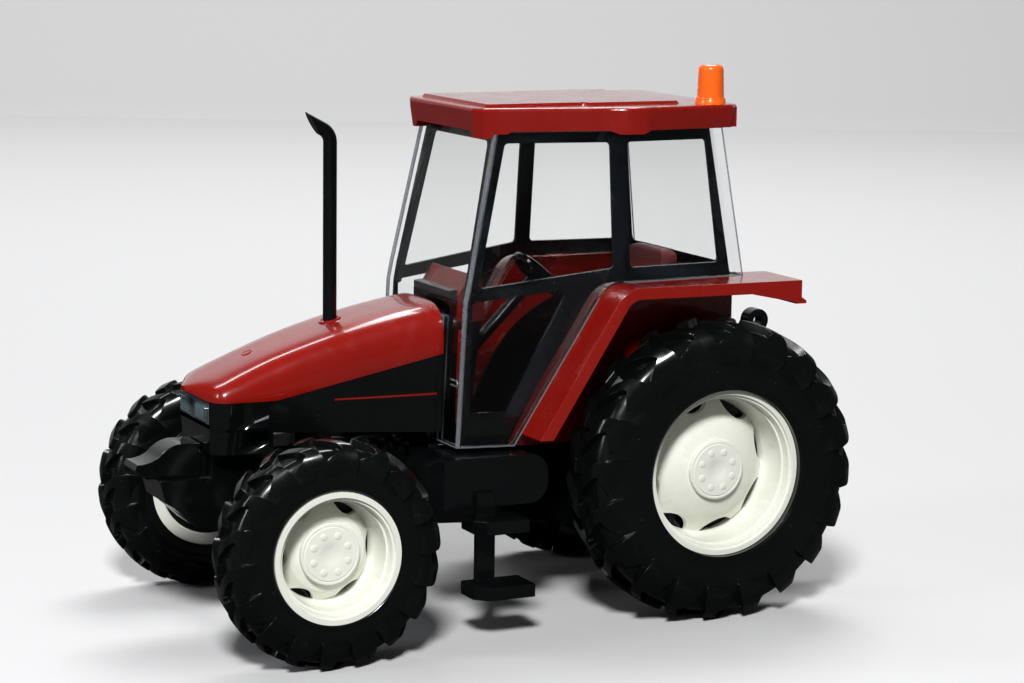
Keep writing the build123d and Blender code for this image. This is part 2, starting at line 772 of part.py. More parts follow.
fender_plan = [
    # run from the rear axle, half width of the pair of fenders
    (fender_foot_x + 1, fender_foot_half),
    (fender_bend_x, fender_bend_half),
    (fender_tail_x - 2, fender_tail_half),
]
tail_wall = 1.2
lip_wide = 1.0
with BuildPart() as fender:
    with BuildSketch(Plane.XZ.offset(-fender_tail_half)):
        with BuildLine():
            fender_line()
            offset(amount=fender_thick + fender_lip, side=Side.LEFT)
        make_face()
        # The side wall deepens towards the tail.
        Polygon(
            (rear_axle_x - 2.0, fender_top_z - fender_thick),
            (fender_tail_x, fender_top_z - fender_thick),
            (fender_tail_x, fender_tail_z),
            align=None,
        )
    extrude(amount=fender_tail_half - tub_wall_y)
    with BuildSketch(Plane.XY.offset(door_base_z - 1)):
        Polygon(
            (fender_foot_x + 1, tub_wall_y),
            *[(x, y - lip_wide) for x, y in fender_plan],
            (fender_tail_x - 2, tub_wall_y),
            align=None,
        )
    extrude(amount=fender_top_z, mode=Mode.SUBTRACT)
    with BuildSketch(Plane.XZ.offset(-fender_tail_half)):
        with BuildLine():
            fender_line()
            offset(amount=fender_thick, side=Side.LEFT)
        make_face()
        # Rear wall, with a small lip turned back at its foot.
        Polygon(
            (fender_tail_x, fender_top_z),
            (fender_tail_x, fender_tail_z + 1.1),
            (fender_tail_x - 0.9, fender_tail_z + 0.5),
            (fender_tail_x - 0.9, fender_tail_z),
            (fender_tail_x + tail_wall, fender_tail_z),
            (fender_tail_x + tail_wall, fender_top_z),
            align=None,
        )
    extrude(amount=fender_tail_half - tub_wall_y)
    with BuildSketch(Plane.XY.offset(fender_foot_z)):
        Polygon(
            (fender_foot_x + 1, tub_wall_y), *fender_plan, (fender_tail_x - 2, tub_wall_y),
            align=None,
        )
    extrude(amount=fender_top_z - fender_foot_z, mode=Mode.INTERSECT)
finish(fender, "fender_left")
mirrored(fender.part, "fender_right")

# ---------------------------------------------------------------- cab shell
knee_run = 1.1  # the front face leans back by this below the knee
windscreen_lean = 5.7 / (cab_top_z - knee_z)
rear_lean = 3.5 / (cab_top_z - fender_top_z)


def windscreen_x(z):
    """Front face of the cab at a height: steep below the knee, leaning back above it."""
    if z <= knee_z:
        return cab_front_x - knee_run * (z - door_base_z) / (knee_z - door_base_z)
    return cab_front_x - knee_run - windscreen_lean * (z - knee_z)


def rear_glass_x(z):
    """Rear face of the cab at a height."""
    return cab_rear_x + rear_lean * max(0.0, z - fender_top_z)


def cab_block(inset, low_z, high_z, rear_inset=0.0):
    """The cab's form drawn in by inset, and more at the rear, between two heights."""
    beyond = 8.0
    side_run = (cab_half_post - cab_half_front) / (cab_front_x - knee_run - post_x)
    rear = inset + rear_inset
    rear_run = (cab_half_post - cab_half_rear) / (post_x - cab_rear_x)
    with BuildPart() as body:
        with BuildSketch(Plane.XY.offset(fender_top_z)) as plan:
            Polygon(
                *across([
                    (cab_front_x + beyond, cab_half_front - side_run * (beyond + knee_run) - inset),
                    (post_x, cab_half_post - inset),
                    (cab_rear_x - beyond, cab_half_rear - rear_run * beyond - inset),
                ]),
                align=None,
            )
        extrude(amount=high_z - fender_top_z, taper=cab_taper)
        extrude(plan.sketch, amount=low_z - fender_top_z)
        with BuildSketch(Plane.XZ):
            Polygon(
                (windscreen_x(low_z) - inset, low_z),
                (windscreen_x(knee_z) - inset, knee_z),
                (windscreen_x(high_z) - inset, high_z),
                (rear_glass_x(high_z) + rear, high_z),
                (rear_glass_x(fender_top_z) + rear, fender_top_z),
                (rear_glass_x(low_z) + rear, low_z),
                align=None,
            )
        extrude(amount=cab_half_post + 5, both=True, mode=Mode.INTERSECT)
    return body.part


rear_margin = 0.7  # bare glazing behind the black frame
bonnet_hole_half = 8.3  # opening in the front glazing, hidden behind the bonnet
cab_outside = cab_block(0.0, door_base_z, cab_top_z)
frame_outside = cab_block(frame_inset, door_base_z, cab_top_z, rear_margin)
with BuildPart() as glass:
    add(cab_outside)
    add(cab_block(frame_inset, door_base_z - 1, cab_top_z + 1), mode=Mode.SUBTRACT)
    add(under_fender.part, mode=Mode.SUBTRACT)
    with BuildSketch(Plane.XY.offset(door_base_z - 1)):
        with Locations((cab_front_x, 0)):
            Rectangle(8, 2 * bonnet_hole_half)
    extrude(amount=bonnet_top_rear_z - 2.4 - door_base_z + 1, mode=Mode.SUBTRACT)
finish(glass, "cab_glass")

frame_foot_z = 35.2  # the black frame ends here; the door's foot is bare glazing
window_top_z = cab_top_z - 2.0
# Windows of the left side: corners given as run behind or ahead of the rear axle, and height.
side_windows = {
    "door_upper": [(34.2, window_top_z), (16.2, window_top_z), (16.2, 59.5), (39.4, 56.6)],
    "door_lower": [(40.3, 54.4), (24.0, 56.2), (35.0, 35.0), (40.6, 35.0)],
    "quarter": [(13.4, window_top_z), (-2.4, window_top_z), (-4.4, 59.5), (13.4, 59.5)],
}
with BuildPart() as cab_frame:
    add(frame_outside)
    add(cab_block(room_inset, door_base_z - 1, cab_top_z + 1), mode=Mode.SUBTRACT)
    add(under_fender.part.moved(Location((clear_margin, 0, 0))), mode=Mode.SUBTRACT)
    with BuildSketch(Plane.XY.offset(door_base_z - 1)):
        with Locations((rear_axle_x + 10, 0)):
            Rectangle(cutter_reach, cutter_reach, align=(Align.MIN, Align.CENTER))
    extrude(amount=frame_foot_z - door_base_z + 1, mode=Mode.SUBTRACT)
    with BuildSketch(Plane.XZ) as side_openings:
        for corners in side_windows.values():
            Polygon(*[(rear_axle_x + x, z) for x, z in corners], align=None)
        fillet(side_openings.vertices(), 0.8)
    extrude(amount=cab_half_post + 2, both=True, mode=Mode.SUBTRACT)
    front_post = 2.6
    with BuildSketch(Plane.YZ.offset(post_x + 5)) as front_openings:
        Polygon(
            (-(cab_half_front - front_post), knee_z - 2.0),
            (cab_half_front - front_post, knee_z - 2.0),
            (cab_half_front - front_post - 2.5, cab_top_z - 1.8),
            (-(cab_half_front - front_post - 2.5), cab_top_z - 1.8),
            align=None,
        )
        fillet(front_openings.vertices(), 1.0)
    extrude(amount=40, mode=Mode.SUBTRACT)
    with BuildSketch(Plane.YZ.offset(post_x + 5)):
        with Locations((0, (knee_z - 0.5 + door_base_z - 1) / 2)):
            Rectangle(2 * (cab_half_front - 1.8), knee_z - 0.5 - door_base_z + 1)
    extrude(amount=40, mode=Mode.SUBTRACT)
    with BuildSketch(Plane.YZ.offset(post_x - 5)) as rear_openings:
        Polygon(
            (-(cab_half_rear - front_post), fender_top_z + 2.0),
            (cab_half_rear - front_post, fender_top_z + 2.0),
            (cab_half_rear - front_post - 2.3, cab_top_z - 1.8),
            (-(cab_half_rear - front_post - 2.3), cab_top_z - 1.8),
            align=None,
        )
        fillet(rear_openings.vertices(), 1.0)
    extrude(amount=-40, mode=Mode.SUBTRACT)
finish(cab_frame, "cab_frame")

# ---------------------------------------------------------------- roof
roof_outline = [
    # run from the rear axle, half width
    (39.6, 12.6),
    (38.6, 15.2),
    (17.2, 18.9),
    (14.6, 20.2),
    (11.0, 20.4),
    (8.6, 19.6),
    (-6.5, 18.4),
    (-7.9, 17.0),
]
roof_plan = across([(rear_axle_x + run, half) for run, half in roof_outline])
# The edge's lower line: level, with a bump over each door post and a tab at each front corner.
edge_line = [
    # run from the rear axle, height
    (-12.0, cab_top_z),
    (9.6, cab_top_z),
    (11.2, roof_bump_z),
    (15.4, roof_bump_z),
    (17.0, cab_top_z),
    (33.6, cab_top_z),
    (35.4, roof_tab_z),
    (45.0, roof_tab_z),
]
front_tab_half = 10.6  # the front edge between the tabs
with BuildPart() as roof:
    with BuildSketch(Plane.XY.offset(roof_top_z)):
        Polygon(*roof_plan, align=None)
    extrude(amount=roof_tab_z - roof_top_z, taper=roof_lean)
    with BuildSketch(Plane.XY.offset(roof_top_z)):
        with Locations((rear_axle_x - 7.9, 0)):
            Rectangle(4.0, 34.0, align=(Align.MIN, Align.CENTER))
    extrude(amount=cab_top_z - roof_top_z)
    fillet(roof.faces().sort_by(Axis.Z)[-1].edges(), 0.6)
    with BuildSketch(Plane.XZ):
        Polygon(
            *[(rear_axle_x + run, z) for run, z in edge_line],
            (rear_axle_x + 45.0, roof_tab_z - 3),
            (rear_axle_x - 12.0, roof_tab_z - 3),
            align=None,
        )
    extrude(amount=30, both=True, mode=Mode.SUBTRACT)
    with BuildSketch(Plane.YZ.offset(post_x + 5)):
        Polygon(
            (front_tab_half, cab_top_z), (front_tab_half + 1.6, roof_tab_z - 1),
            (-front_tab_half - 1.6, roof_tab_z - 1), (-front_tab_half, cab_top_z),
            align=None,
        )
    extrude(amount=40, mode=Mode.SUBTRACT)
    add(cab_block(-skin_gap, roof_tab_z - 1, cab_top_z), mode=Mode.SUBTRACT)
    with BuildSketch(Plane.XY.offset(roof_top_z)):
        with Locations((rear_axle_x + 28.2, 0)):
            RectangleRounded(18.0, 27.0, 1.0)
        with Locations((rear_axle_x + 10.4, 0)):
            RectangleRounded(17.8, 29.0, 1.0)
    extrude(amount=roof_panel_high, taper=35)
finish(roof, "roof")

beacon_at = (rear_axle_x - 3.5, 15.6)
with BuildPart() as beacon:
    with BuildSketch(Plane.XY.offset(roof_top_z)):
        with Locations(beacon_at):
            Circle(2.5)
    extrude(amount=1.0)
    with BuildSketch(Plane.XY.offset(roof_top_z + 1.0)):
        with Locations(beacon_at):
            Circle(2.3)
    extrude(amount=5.6, taper=2)
    fillet(beacon.faces().sort_by(Axis.Z)[-1].edges(), 0.9)
finish(beacon, "beacon")

# ---------------------------------------------------------------- driver's place
# steering column and dash: the wheel leans towards the driver
wheel_x = rear_axle_x + 21.0
wheel_z = 56.3
wheel_radius = 4.6
wheel_tube = 0.65
column_lean = 45.0
column_axis = Vector(-sin(radians(column_lean)), 0, cos(radians(column_lean)))
wheel_plane = Plane(origin=(wheel_x, 0, wheel_z), z_dir=column_axis)
column_length = 20.0
column_radius = 1.0
dash_top_z = 58.0
dash_top_x = rear_axle_x + 36.8
dash_half = 8.0

floor_top_z = cab_floor_z + floor_thick
seat_x = rear_axle_x + 7.2
seat_half = 6.6
seat_base_z = floor_top_z + 10.0
liner_thick = 0.8
liner_radius = 26.8  # the liner's arches follow the rear wheels
liner_half = inner_y - skin_gap
liner_rear_x = cab_rear_x + tub_wall_thick + skin_gap
liner_top_z = floor_top_z + liner_thick
cab_inner_x = cab_front_x - room_inset - skin_gap
cab_inner_half = cab_half_front - room_inset - skin_gap
console_top_z = 50.0
console_half = 6.0
firewall_top_z = bonnet_top_rear_z - 2.5
cowl_x = firewall_x - firewall_thick - 0.3
cowl_thick = 1.3
cowl_top_z = knee_z + 0.7
cowl_half = 7.4
# Inner moulding: floor, an arch beside each rear wheel, seat pedestal, console and firewall.
with BuildPart() as pedestal:
    with BuildSketch(Plane.XY.offset(floor_top_z)):
        Polygon(
            *across([
                (liner_rear_x, liner_half), (tub_front_x, liner_half), (cab_inner_x, cab_inner_half),
            ]),
            align=None,
        )
    extrude(amount=liner_thick)
    with BuildSketch(Plane.XY.offset(cab_floor_z)):
        Polygon(
            *across([(tub_front_x + skin_gap, liner_half), (cab_inner_x, cab_inner_half)]),
            align=None,
        )
    extrude(amount=floor_thick)
    with BuildSketch(Plane.XZ):
        with Locations((rear_axle_x, rear_axle_z)):
            Circle(liner_radius)
        with Locations((liner_rear_x, floor_top_z)):
            Rectangle(
                cutter_reach, cutter_reach, align=(Align.MIN, Align.MIN), mode=Mode.INTERSECT
            )
    extrude(amount=liner_half, both=True)
    with BuildSketch(Plane.XZ):
        with Locations((rear_axle_x, liner_top_z)):
            Rectangle(2 * cutter_reach, cutter_reach, align=(Align.CENTER, Align.MIN))
    extrude(amount=liner_half - liner_thick, both=True, mode=Mode.SUBTRACT)
    with BuildSketch(Plane.XY.offset(floor_top_z)):
        with Locations((seat_x, 0)):
            Rectangle(9.0, 9.0)
    extrude(amount=seat_base_z - floor_top_z, taper=6)
    with BuildSketch(Plane.XZ):
        with Locations((firewall_x, floor_top_z)):
            Rectangle(firewall_thick, firewall_top_z - floor_top_z, align=(Align.MAX, Align.MIN))
    extrude(amount=bonnet_hole_half - skin_gap, both=True)
    with BuildSketch(Plane.XZ):
        Polygon(
            (firewall_x - firewall_thick, floor_top_z),
            (firewall_x - firewall_thick, console_top_z),
            (dash_top_x - 2.6, console_top_z),
            (firewall_x - 5.4, floor_top_z),
            align=None,
        )
    extrude(amount=console_half, both=True)
    # A bar across the windscreen's foot.
    with BuildSketch(Plane.XZ):
        Polygon(
            (cowl_x, console_top_z - 1.0),
            (cowl_x, cowl_top_z),
            (cowl_x - cowl_thick, cowl_top_z + 0.2),
            (cowl_x - cowl_thick, console_top_z - 1.0),
            align=None,
        )
    extrude(amount=cowl_half, both=True)
    with BuildSketch(wheel_plane.offset(-column_length)):
        Circle(column_radius + fit_gap)
    extrude(amount=column_length, mode=Mode.SUBTRACT)
finish(pedestal, "seat_pedestal")

seat_back_top_z = 60.3
with BuildPart() as seat:
    with BuildSketch(Plane.XZ):
        Polygon(
            (seat_x + 7.0, seat_base_z),
            (seat_x + 7.5, seat_base_z + 4.4),
            (seat_x - 4.6, seat_base_z + 3.6),
            (seat_x - 7.2, seat_back_top_z),
            (seat_x - 10.2, seat_back_top_z - 0.2),
            (seat_x - 8.0, seat_base_z),
            align=None,
        )
    extrude(amount=seat_half, both=True)
    fillet(seat.edges().filter_by(Axis.Y), 0.9)
    with BuildSketch(Plane.YZ.offset(seat_x)):
        with Locations((0, seat_base_z - 5)):
            RectangleRounded(
                2 * seat_half, seat_back_top_z - seat_base_z + 5, 2.6,
                align=(Align.CENTER, Align.MIN),
            )
    extrude(amount=20, both=True, mode=Mode.INTERSECT)
finish(seat, "seat")

# Dash cover: stands on the console, behind the bar at the windscreen's foot.
with BuildPart() as dash:
    with BuildSketch(Plane.XZ):
        Polygon(
            (cowl_x - cowl_thick, console_top_z),
            (cowl_x - cowl_thick, knee_z),
            (dash_top_x, dash_top_z),
            (dash_top_x - 1.6, dash_top_z - 1.2),
            (dash_top_x - 2.6, console_top_z),
            align=None,
        )
    extrude(amount=dash_half, both=True)
    with BuildSketch(wheel_plane.offset(-column_length)):
        Circle(column_radius + fit_gap)
    extrude(amount=column_length, mode=Mode.SUBTRACT)
finish(dash, "dash")

# Steering wheel on its column, whose foot stays in the console's bore.
with BuildPart() as steering_wheel:
    with BuildSketch(Plane(origin=(wheel_x, 0, wheel_z), x_dir=wheel_plane.x_dir,
                           z_dir=wheel_plane.y_dir)):
        with Locations((wheel_radius, 0)):
            RegularPolygon(wheel_tube, 8)
    revolve(axis=Axis((wheel_x, 0, wheel_z), column_axis))
    with BuildSketch(wheel_plane.offset(-0.5)):
        with PolarLocations(0, 3, start_angle=180):
            with Locations((wheel_radius / 2, 0)):
                Rectangle(wheel_radius, 1.2)
        Circle(1.5)
    extrude(amount=1.0)
    with BuildSketch(wheel_plane.offset(-column_length)):
        Circle(column_radius)
    extrude(amount=column_length)
finish(steering_wheel, "steering_wheel")

# ---------------------------------------------------------------- tanks and steps
tank_rear_x = rear_axle_x + 28.8
tank_long = 22.2
tank_front_x = tank_rear_x + tank_long
tank_inner_y = 12.0
tank_round = 3.4
hanger_x = rear_axle_x + 40.6
with BuildPart() as tank:
    with BuildSketch(Plane.XZ.offset(-tank_outer_y)):
        with Locations(((tank_rear_x + tank_front_x) / 2, (tank_base_z + tank_top_z) / 2)):
            RectangleRounded(tank_front_x - tank_rear_x, tank_top_z - tank_base_z, tank_round)
    extrude(amount=tank_outer_y - tank_inner_y)
    with BuildSketch(Plane.XY.offset(tank_base_z)):
        Polygon(
            (tank_rear_x, tank_inner_y - 1), (tank_rear_x, tank_outer_y),
            (tank_front_x - 3.4, tank_outer_y), (tank_front_x - 1.0, tank_outer_y - 1.4),
            (tank_front_x, tank_outer_y - 4.0), (tank_front_x, tank_inner_y - 1),
            align=None,
        )
    extrude(amount=tank_top_z - tank_base_z, mode=Mode.INTERSECT)
    with BuildSketch(Plane.XZ.offset(-tank_inner_y)):
        with Locations((rear_axle_x + 37.0, 24.6)):
            Rectangle(7.0, 4.0)
    extrude(amount=tank_inner_y - chassis_half)
finish(tank, "side_tank_left")
mirrored(tank.part, "side_tank_right")

step_high = 2.2
with BuildPart() as steps:
    with BuildSketch(Plane.XZ.offset(-tank_outer_y - 1.1)):
        with Locations((hanger_x, 15.8)):
            Rectangle(3.4, 16.4)
    extrude(amount=1.1)
    for step_z, step_x, step_half_long in ((18.1, hanger_x - 0.6, 4.6), (7.2, hanger_x - 1.2, 5.2)):
        with BuildSketch(Plane.XY.offset(step_z)):
            Polygon(
                (step_x - step_half_long, tank_outer_y), (step_x - step_half_long, step_outer_y),
                (step_x + step_half_long - 2.0, step_outer_y),
                (step_x + step_half_long, step_outer_y - 2.0),
                (step_x + step_half_long, tank_outer_y),
                align=None,
            )
        extrude(amount=step_high)
finish(steps, "steps_left")
mirrored(steps.part, "steps_right")

# ---------------------------------------------------------------- rear linkage
arm_inner_y = ear_outer_y + 0.3
arm_wide = 2.2
arm_end_radius = 1.8
arm_end_x = rear_axle_x - rear_reach + arm_end_radius
arm_end_z = 15.4
peg_radius = 1.0
peg_long = 2.2
with BuildPart() as lift_arms:
    for side in (1, -1):
        outer_face = Plane.XZ.offset(-(arm_inner_y + arm_wide) if side == 1 else arm_inner_y)
        with BuildSketch(outer_face):
            with Locations((lift_pivot_x, lift_pivot_z), (arm_end_x, arm_end_z)):
                Circle(arm_end_radius)
            with BuildLine():
                Polyline(
                    (lift_pivot_x, lift_pivot_z - 1.2), (lift_pivot_x, lift_pivot_z + 1.2),
                    (arm_end_x, arm_end_z + 1.2), (arm_end_x, arm_end_z - 1.2),
                    close=True,
                )
            make_face()
        extrude(amount=arm_wide)
    pin_half = arm_inner_y + arm_wide
    with BuildSketch(Plane.XZ.offset(-pin_half)):
        with Locations((lift_pivot_x, lift_pivot_z)):
            Circle(lift_pin_radius)
    extrude(amount=2 * pin_half)
    for side in (1, -1):
        peg_face = Plane.XZ.offset(-(pin_half + peg_long) if side == 1 else pin_half)
        with BuildSketch(peg_face):
            with Locations((arm_end_x, arm_end_z)):
                Circle(peg_radius)
        extrude(amount=peg_long)
finish(lift_arms, "lift_arms")

# Top link bracket: rises from the gearbox's rear face to an open eye.
link_eye = (rear_axle_x - 22.5, 46.0)
link_bore = 0.9
link_half = 1.3
with BuildPart() as top_link:
    with BuildSketch(Plane.XZ):
        Polygon(
            (gearbox_rear_x, 22.4), (gearbox_rear_x, 27.0), (gearbox_rear_x - 1.6, 29.0),
            (link_eye[0] + 1.8, link_eye[1] + 0.6), (link_eye[0] - 1.6, link_eye[1] - 1.0),
            (gearbox_rear_x - 4.6, 28.0),
            align=None,
        )
        with Locations(link_eye):
            Circle(2.1)
        with Locations(link_eye):
            Circle(link_bore, mode=Mode.SUBTRACT)
    extrude(amount=link_half, both=True)
finish(top_link, "top_link_bracket")

# Tow bar: lies against the gearbox's underside and ends in a pin hole.
tow_end_x = rear_axle_x - 19.5
tow_base_z = 12.4
tow_top_z = 15.6
tow_bore_radius = 1.3
tow_bore_x = tow_end_x + 3.2
with BuildPart() as tow_bar:
    with BuildSketch(Plane.XZ):
        Polygon(
            (tow_end_x, tow_base_z), (rear_axle_x + 8.0, tow_base_z),
            (rear_axle_x + 12.0, chassis_base_z), (gearbox_rear_x, rear_axle_z - 7.5),
            (gearbox_rear_x - 1.0, tow_top_z), (tow_end_x, tow_top_z),
            align=None,
        )
    extrude(amount=2.8, both=True)
    with BuildSketch(Plane.XY.offset(tow_base_z)):
        with Locations((tow_bore_x, 0)):
            Circle(tow_bore_radius)
    extrude(amount=tow_top_z - tow_base_z, mode=Mode.SUBTRACT)
finish(tow_bar, "tow_bar")
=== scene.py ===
"""A small scale model of a farm tractor, dressed over its CAD frame. Metres, X forward, Y left, Z up."""
import json
from math import cos, pi, radians, sin

import bmesh
import bpy
from mathutils import Matrix, Vector


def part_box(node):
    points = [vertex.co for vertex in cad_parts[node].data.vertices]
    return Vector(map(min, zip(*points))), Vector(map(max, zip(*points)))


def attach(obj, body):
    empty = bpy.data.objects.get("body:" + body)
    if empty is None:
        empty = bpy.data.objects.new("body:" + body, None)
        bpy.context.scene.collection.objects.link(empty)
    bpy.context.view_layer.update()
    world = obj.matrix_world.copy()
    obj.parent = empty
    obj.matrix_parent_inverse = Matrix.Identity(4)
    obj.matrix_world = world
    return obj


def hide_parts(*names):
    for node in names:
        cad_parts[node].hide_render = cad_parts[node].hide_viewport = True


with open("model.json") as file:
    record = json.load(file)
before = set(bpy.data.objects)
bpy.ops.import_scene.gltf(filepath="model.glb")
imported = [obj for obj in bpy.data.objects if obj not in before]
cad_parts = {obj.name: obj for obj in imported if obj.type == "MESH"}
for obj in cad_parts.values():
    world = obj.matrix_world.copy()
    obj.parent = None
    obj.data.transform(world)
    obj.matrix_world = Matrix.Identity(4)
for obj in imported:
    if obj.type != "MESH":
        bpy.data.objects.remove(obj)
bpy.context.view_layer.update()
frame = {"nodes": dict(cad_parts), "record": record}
nodes = frame["nodes"]
body_of_node = {n: body for body, names in frame["record"]["behaviour"]["bodies"].items() for n in names}
slot_of_node = {part["node"]: part["material_slot"] for part in frame["record"]["subparts"]}

MM = 0.001
MERGE = 0.002 * MM  # corners nearer than this become one corner
FLAT = radians(0.6)  # faces that turn less than this become one face
CREASE = 24.0  # degrees: sharper edges of a CAD piece are rounded and stay crisp
CAMERA_PLACE = (0.23135, 0.42702, 0.12118)  # from the floor under the rear axle, in metres
CAMERA_TARGET = (0.02558, 0.0, 0.0448)


def middle(node):
    """The middle of a node's box at rest."""
    low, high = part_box(node)
    return (low + high) / 2


rear_axle = middle("tyre_rear_left")
front_axle = middle("tyre_front_left")

# ---------------------------------------------------------------- camera, floor and lights


def linked(name, data):
    """A new object in the scene."""
    piece = bpy.data.objects.new(name, data)
    bpy.context.scene.collection.objects.link(piece)
    return piece


def aimed(thing, place, target, roll=0.0):
    """Turns a camera or lamp at place towards target, rolled by roll degrees."""
    look = (Vector(target) - Vector(place)).to_track_quat("-Z", "Y").to_matrix().to_4x4()
    thing.matrix_world = Matrix.Translation(Vector(place)) @ look @ Matrix.Rotation(radians(roll), 4, "Z")


def add_camera():
    """The camera: low on the tractor's left, a little ahead of its rear axle."""
    data = bpy.data.cameras.new("camera")
    data.sensor_width = 36.0
    data.lens = 98.27
    data.clip_start = 0.01
    camera = linked("camera", data)
    place, target = ((rear_axle.x + x, y, z) for x, y, z in (CAMERA_PLACE, CAMERA_TARGET))
    aimed(camera, place, target, roll=0.75)
    bpy.context.scene.camera = camera


def soft_lamp(name, place, target, size, power, tint=(1.0, 1.0, 1.0)):
    """A lamp with a wide rectangular face: places and size in metres, power in watts."""
    data = bpy.data.lights.new(name, "AREA")
    data.shape = "RECTANGLE"
    data.size, data.size_y = size
    data.energy = power
    data.color = tint
    aimed(linked(name, data), place, target)


def paper(name, seen, dim, mirrored):
    """Matt paper in three greys: as seen straight or through the glazing, as the light that it throws back
    onto the tractor, and as mirrored in gloss."""
    material = bpy.data.materials.new(name)
    material.use_nodes = True
    tree = material.node_tree
    tree.nodes.clear()
    path = tree.nodes.new("ShaderNodeLightPath")
    out = tree.nodes.new("ShaderNodeOutputMaterial")
    sheets = []
    for grey in (seen, mirrored, dim):
        sheet = tree.nodes.new("ShaderNodeBsdfDiffuse")
        sheet.inputs["Color"].default_value = (grey, grey, grey * 1.01, 1)
        sheets.append(sheet.outputs[0])
    layered = sheets[0]
    for depth, sheet in (("Glossy Depth", sheets[1]), ("Diffuse Depth", sheets[2])):
        bounced = tree.nodes.new("ShaderNodeMath")
        bounced.operation = "GREATER_THAN"
        bounced.inputs[1].default_value = 0.5
        mix = tree.nodes.new("ShaderNodeMixShader")
        tree.links.new(path.outputs[depth], bounced.inputs[0])
        tree.links.new(bounced.outputs[0], mix.inputs[0])
        tree.links.new(layered, mix.inputs[1])
        tree.links.new(sheet, mix.inputs[2])
        layered = mix.outputs[0]
    tree.links.new(layered, out.inputs["Surface"])
    return material


def studio_sheet(name, profile, material):
    """A wide sheet through profile, a run of (distance, height) points, facing the camera's side."""
    half_width = 3.0
    mesh = bpy.data.meshes.new(name)
    bm = bmesh.new()
    rows = [[bm.verts.new((x, y, z)) for x in (-half_width, half_width)] for y, z in profile]
    for a, b in zip(rows, rows[1:]):
        bm.faces.new((a[0], a[1], b[1], b[0]))
    bmesh.ops.recalc_face_normals(bm, faces=bm.faces)
    bm.to_mesh(mesh)
    bm.free()
    sheet = linked(name, mesh)
    for face in mesh.polygons:
        face.use_smooth = True
    away = Vector((CAMERA_PLACE[0], CAMERA_PLACE[1], 0.0)).normalized()
    sheet.rotation_euler = (0, 0, away.to_track_quat("Y", "Z").to_euler().z)
    mesh.materials.append(material)


def add_floor():
    """A pale floor that turns up into a backdrop far behind the tractor."""
    front, back, bend, steps, top = 1.6, -1.0, 0.6, 12, 2.6
    turns = [k * pi / 2 / steps for k in range(steps + 1)]
    curve = [(back - bend * sin(turn), bend - bend * cos(turn)) for turn in turns]
    floor = paper("floor_paper", seen=0.62, dim=0.16, mirrored=0.05)
    studio_sheet("floor", [(front, 0.0), (back, 0.0)], floor)
    backdrop = paper("backdrop_paper", seen=0.62, dim=0.16, mirrored=0.62)
    studio_sheet("backdrop", curve + [(back - bend, top)], backdrop)


def add_lights():
    """A faint world light, three soft lamps around the tractor and one on the backdrop."""
    world = bpy.data.worlds.new("studio")
    bpy.context.scene.world = world
    world.use_nodes = True
    back = world.node_tree.nodes["Background"]
    back.inputs["Color"].default_value = (0.95, 0.97, 1.0, 1)
    back.inputs["Strength"].default_value = 0.05
    soft_lamp("key", (0.34, 0.62, 0.60), (0, 0, 0.04), (0.14, 0.14), 10.0)
    soft_lamp("far_side", (-0.30, -0.45, 0.85), (0, 0, 0.03), (0.4, 0.3), 4.0)
    soft_lamp("front", (0.95, 0.05, 0.40), (0, 0, 0.04), (0.2, 0.3), 1.5, (0.93, 0.96, 1.0))
    soft_lamp("backdrop", (0, -0.6, 1.4), (-0.3, -1.5, 0.5), (1.6, 0.5), 22.0)


# ---------------------------------------------------------------- node groups and materials


def new_group(name, inputs, outputs):
    """A node group with sockets given as (name, Float or Vector), and its input and output nodes."""
    tree = bpy.data.node_groups.new(name, "ShaderNodeTree")
    for way, sockets in (("INPUT", inputs), ("OUTPUT", outputs)):
        for label, kind in sockets:
            tree.interface.new_socket(name=label, in_out=way, socket_type="NodeSocket" + kind)
    return tree, tree.nodes.new("NodeGroupInput"), tree.nodes.new("NodeGroupOutput")


def add_node(tree, kind, values=(), **settings):
    """A node with its settings and some of its inputs set."""
    node = tree.nodes.new(kind)
    for key, value in settings.items():
        setattr(node, key, value)
    for key, value in dict(values).items():
        node.inputs[key].default_value = value
    return node


def ramp(tree, source, stops):
    """A colour ramp from source through stops of (place, grey)."""
    node = add_node(tree, "ShaderNodeValToRGB")
    elements = node.color_ramp.elements
    while len(elements) < len(stops):
        elements.new(0.5)
    for element, (place, grey) in zip(elements, stops):
        element.position = place
        element.color = (grey, grey, grey, 1)
    tree.links.new(source, node.inputs["Fac"])
    return node.outputs["Color"]


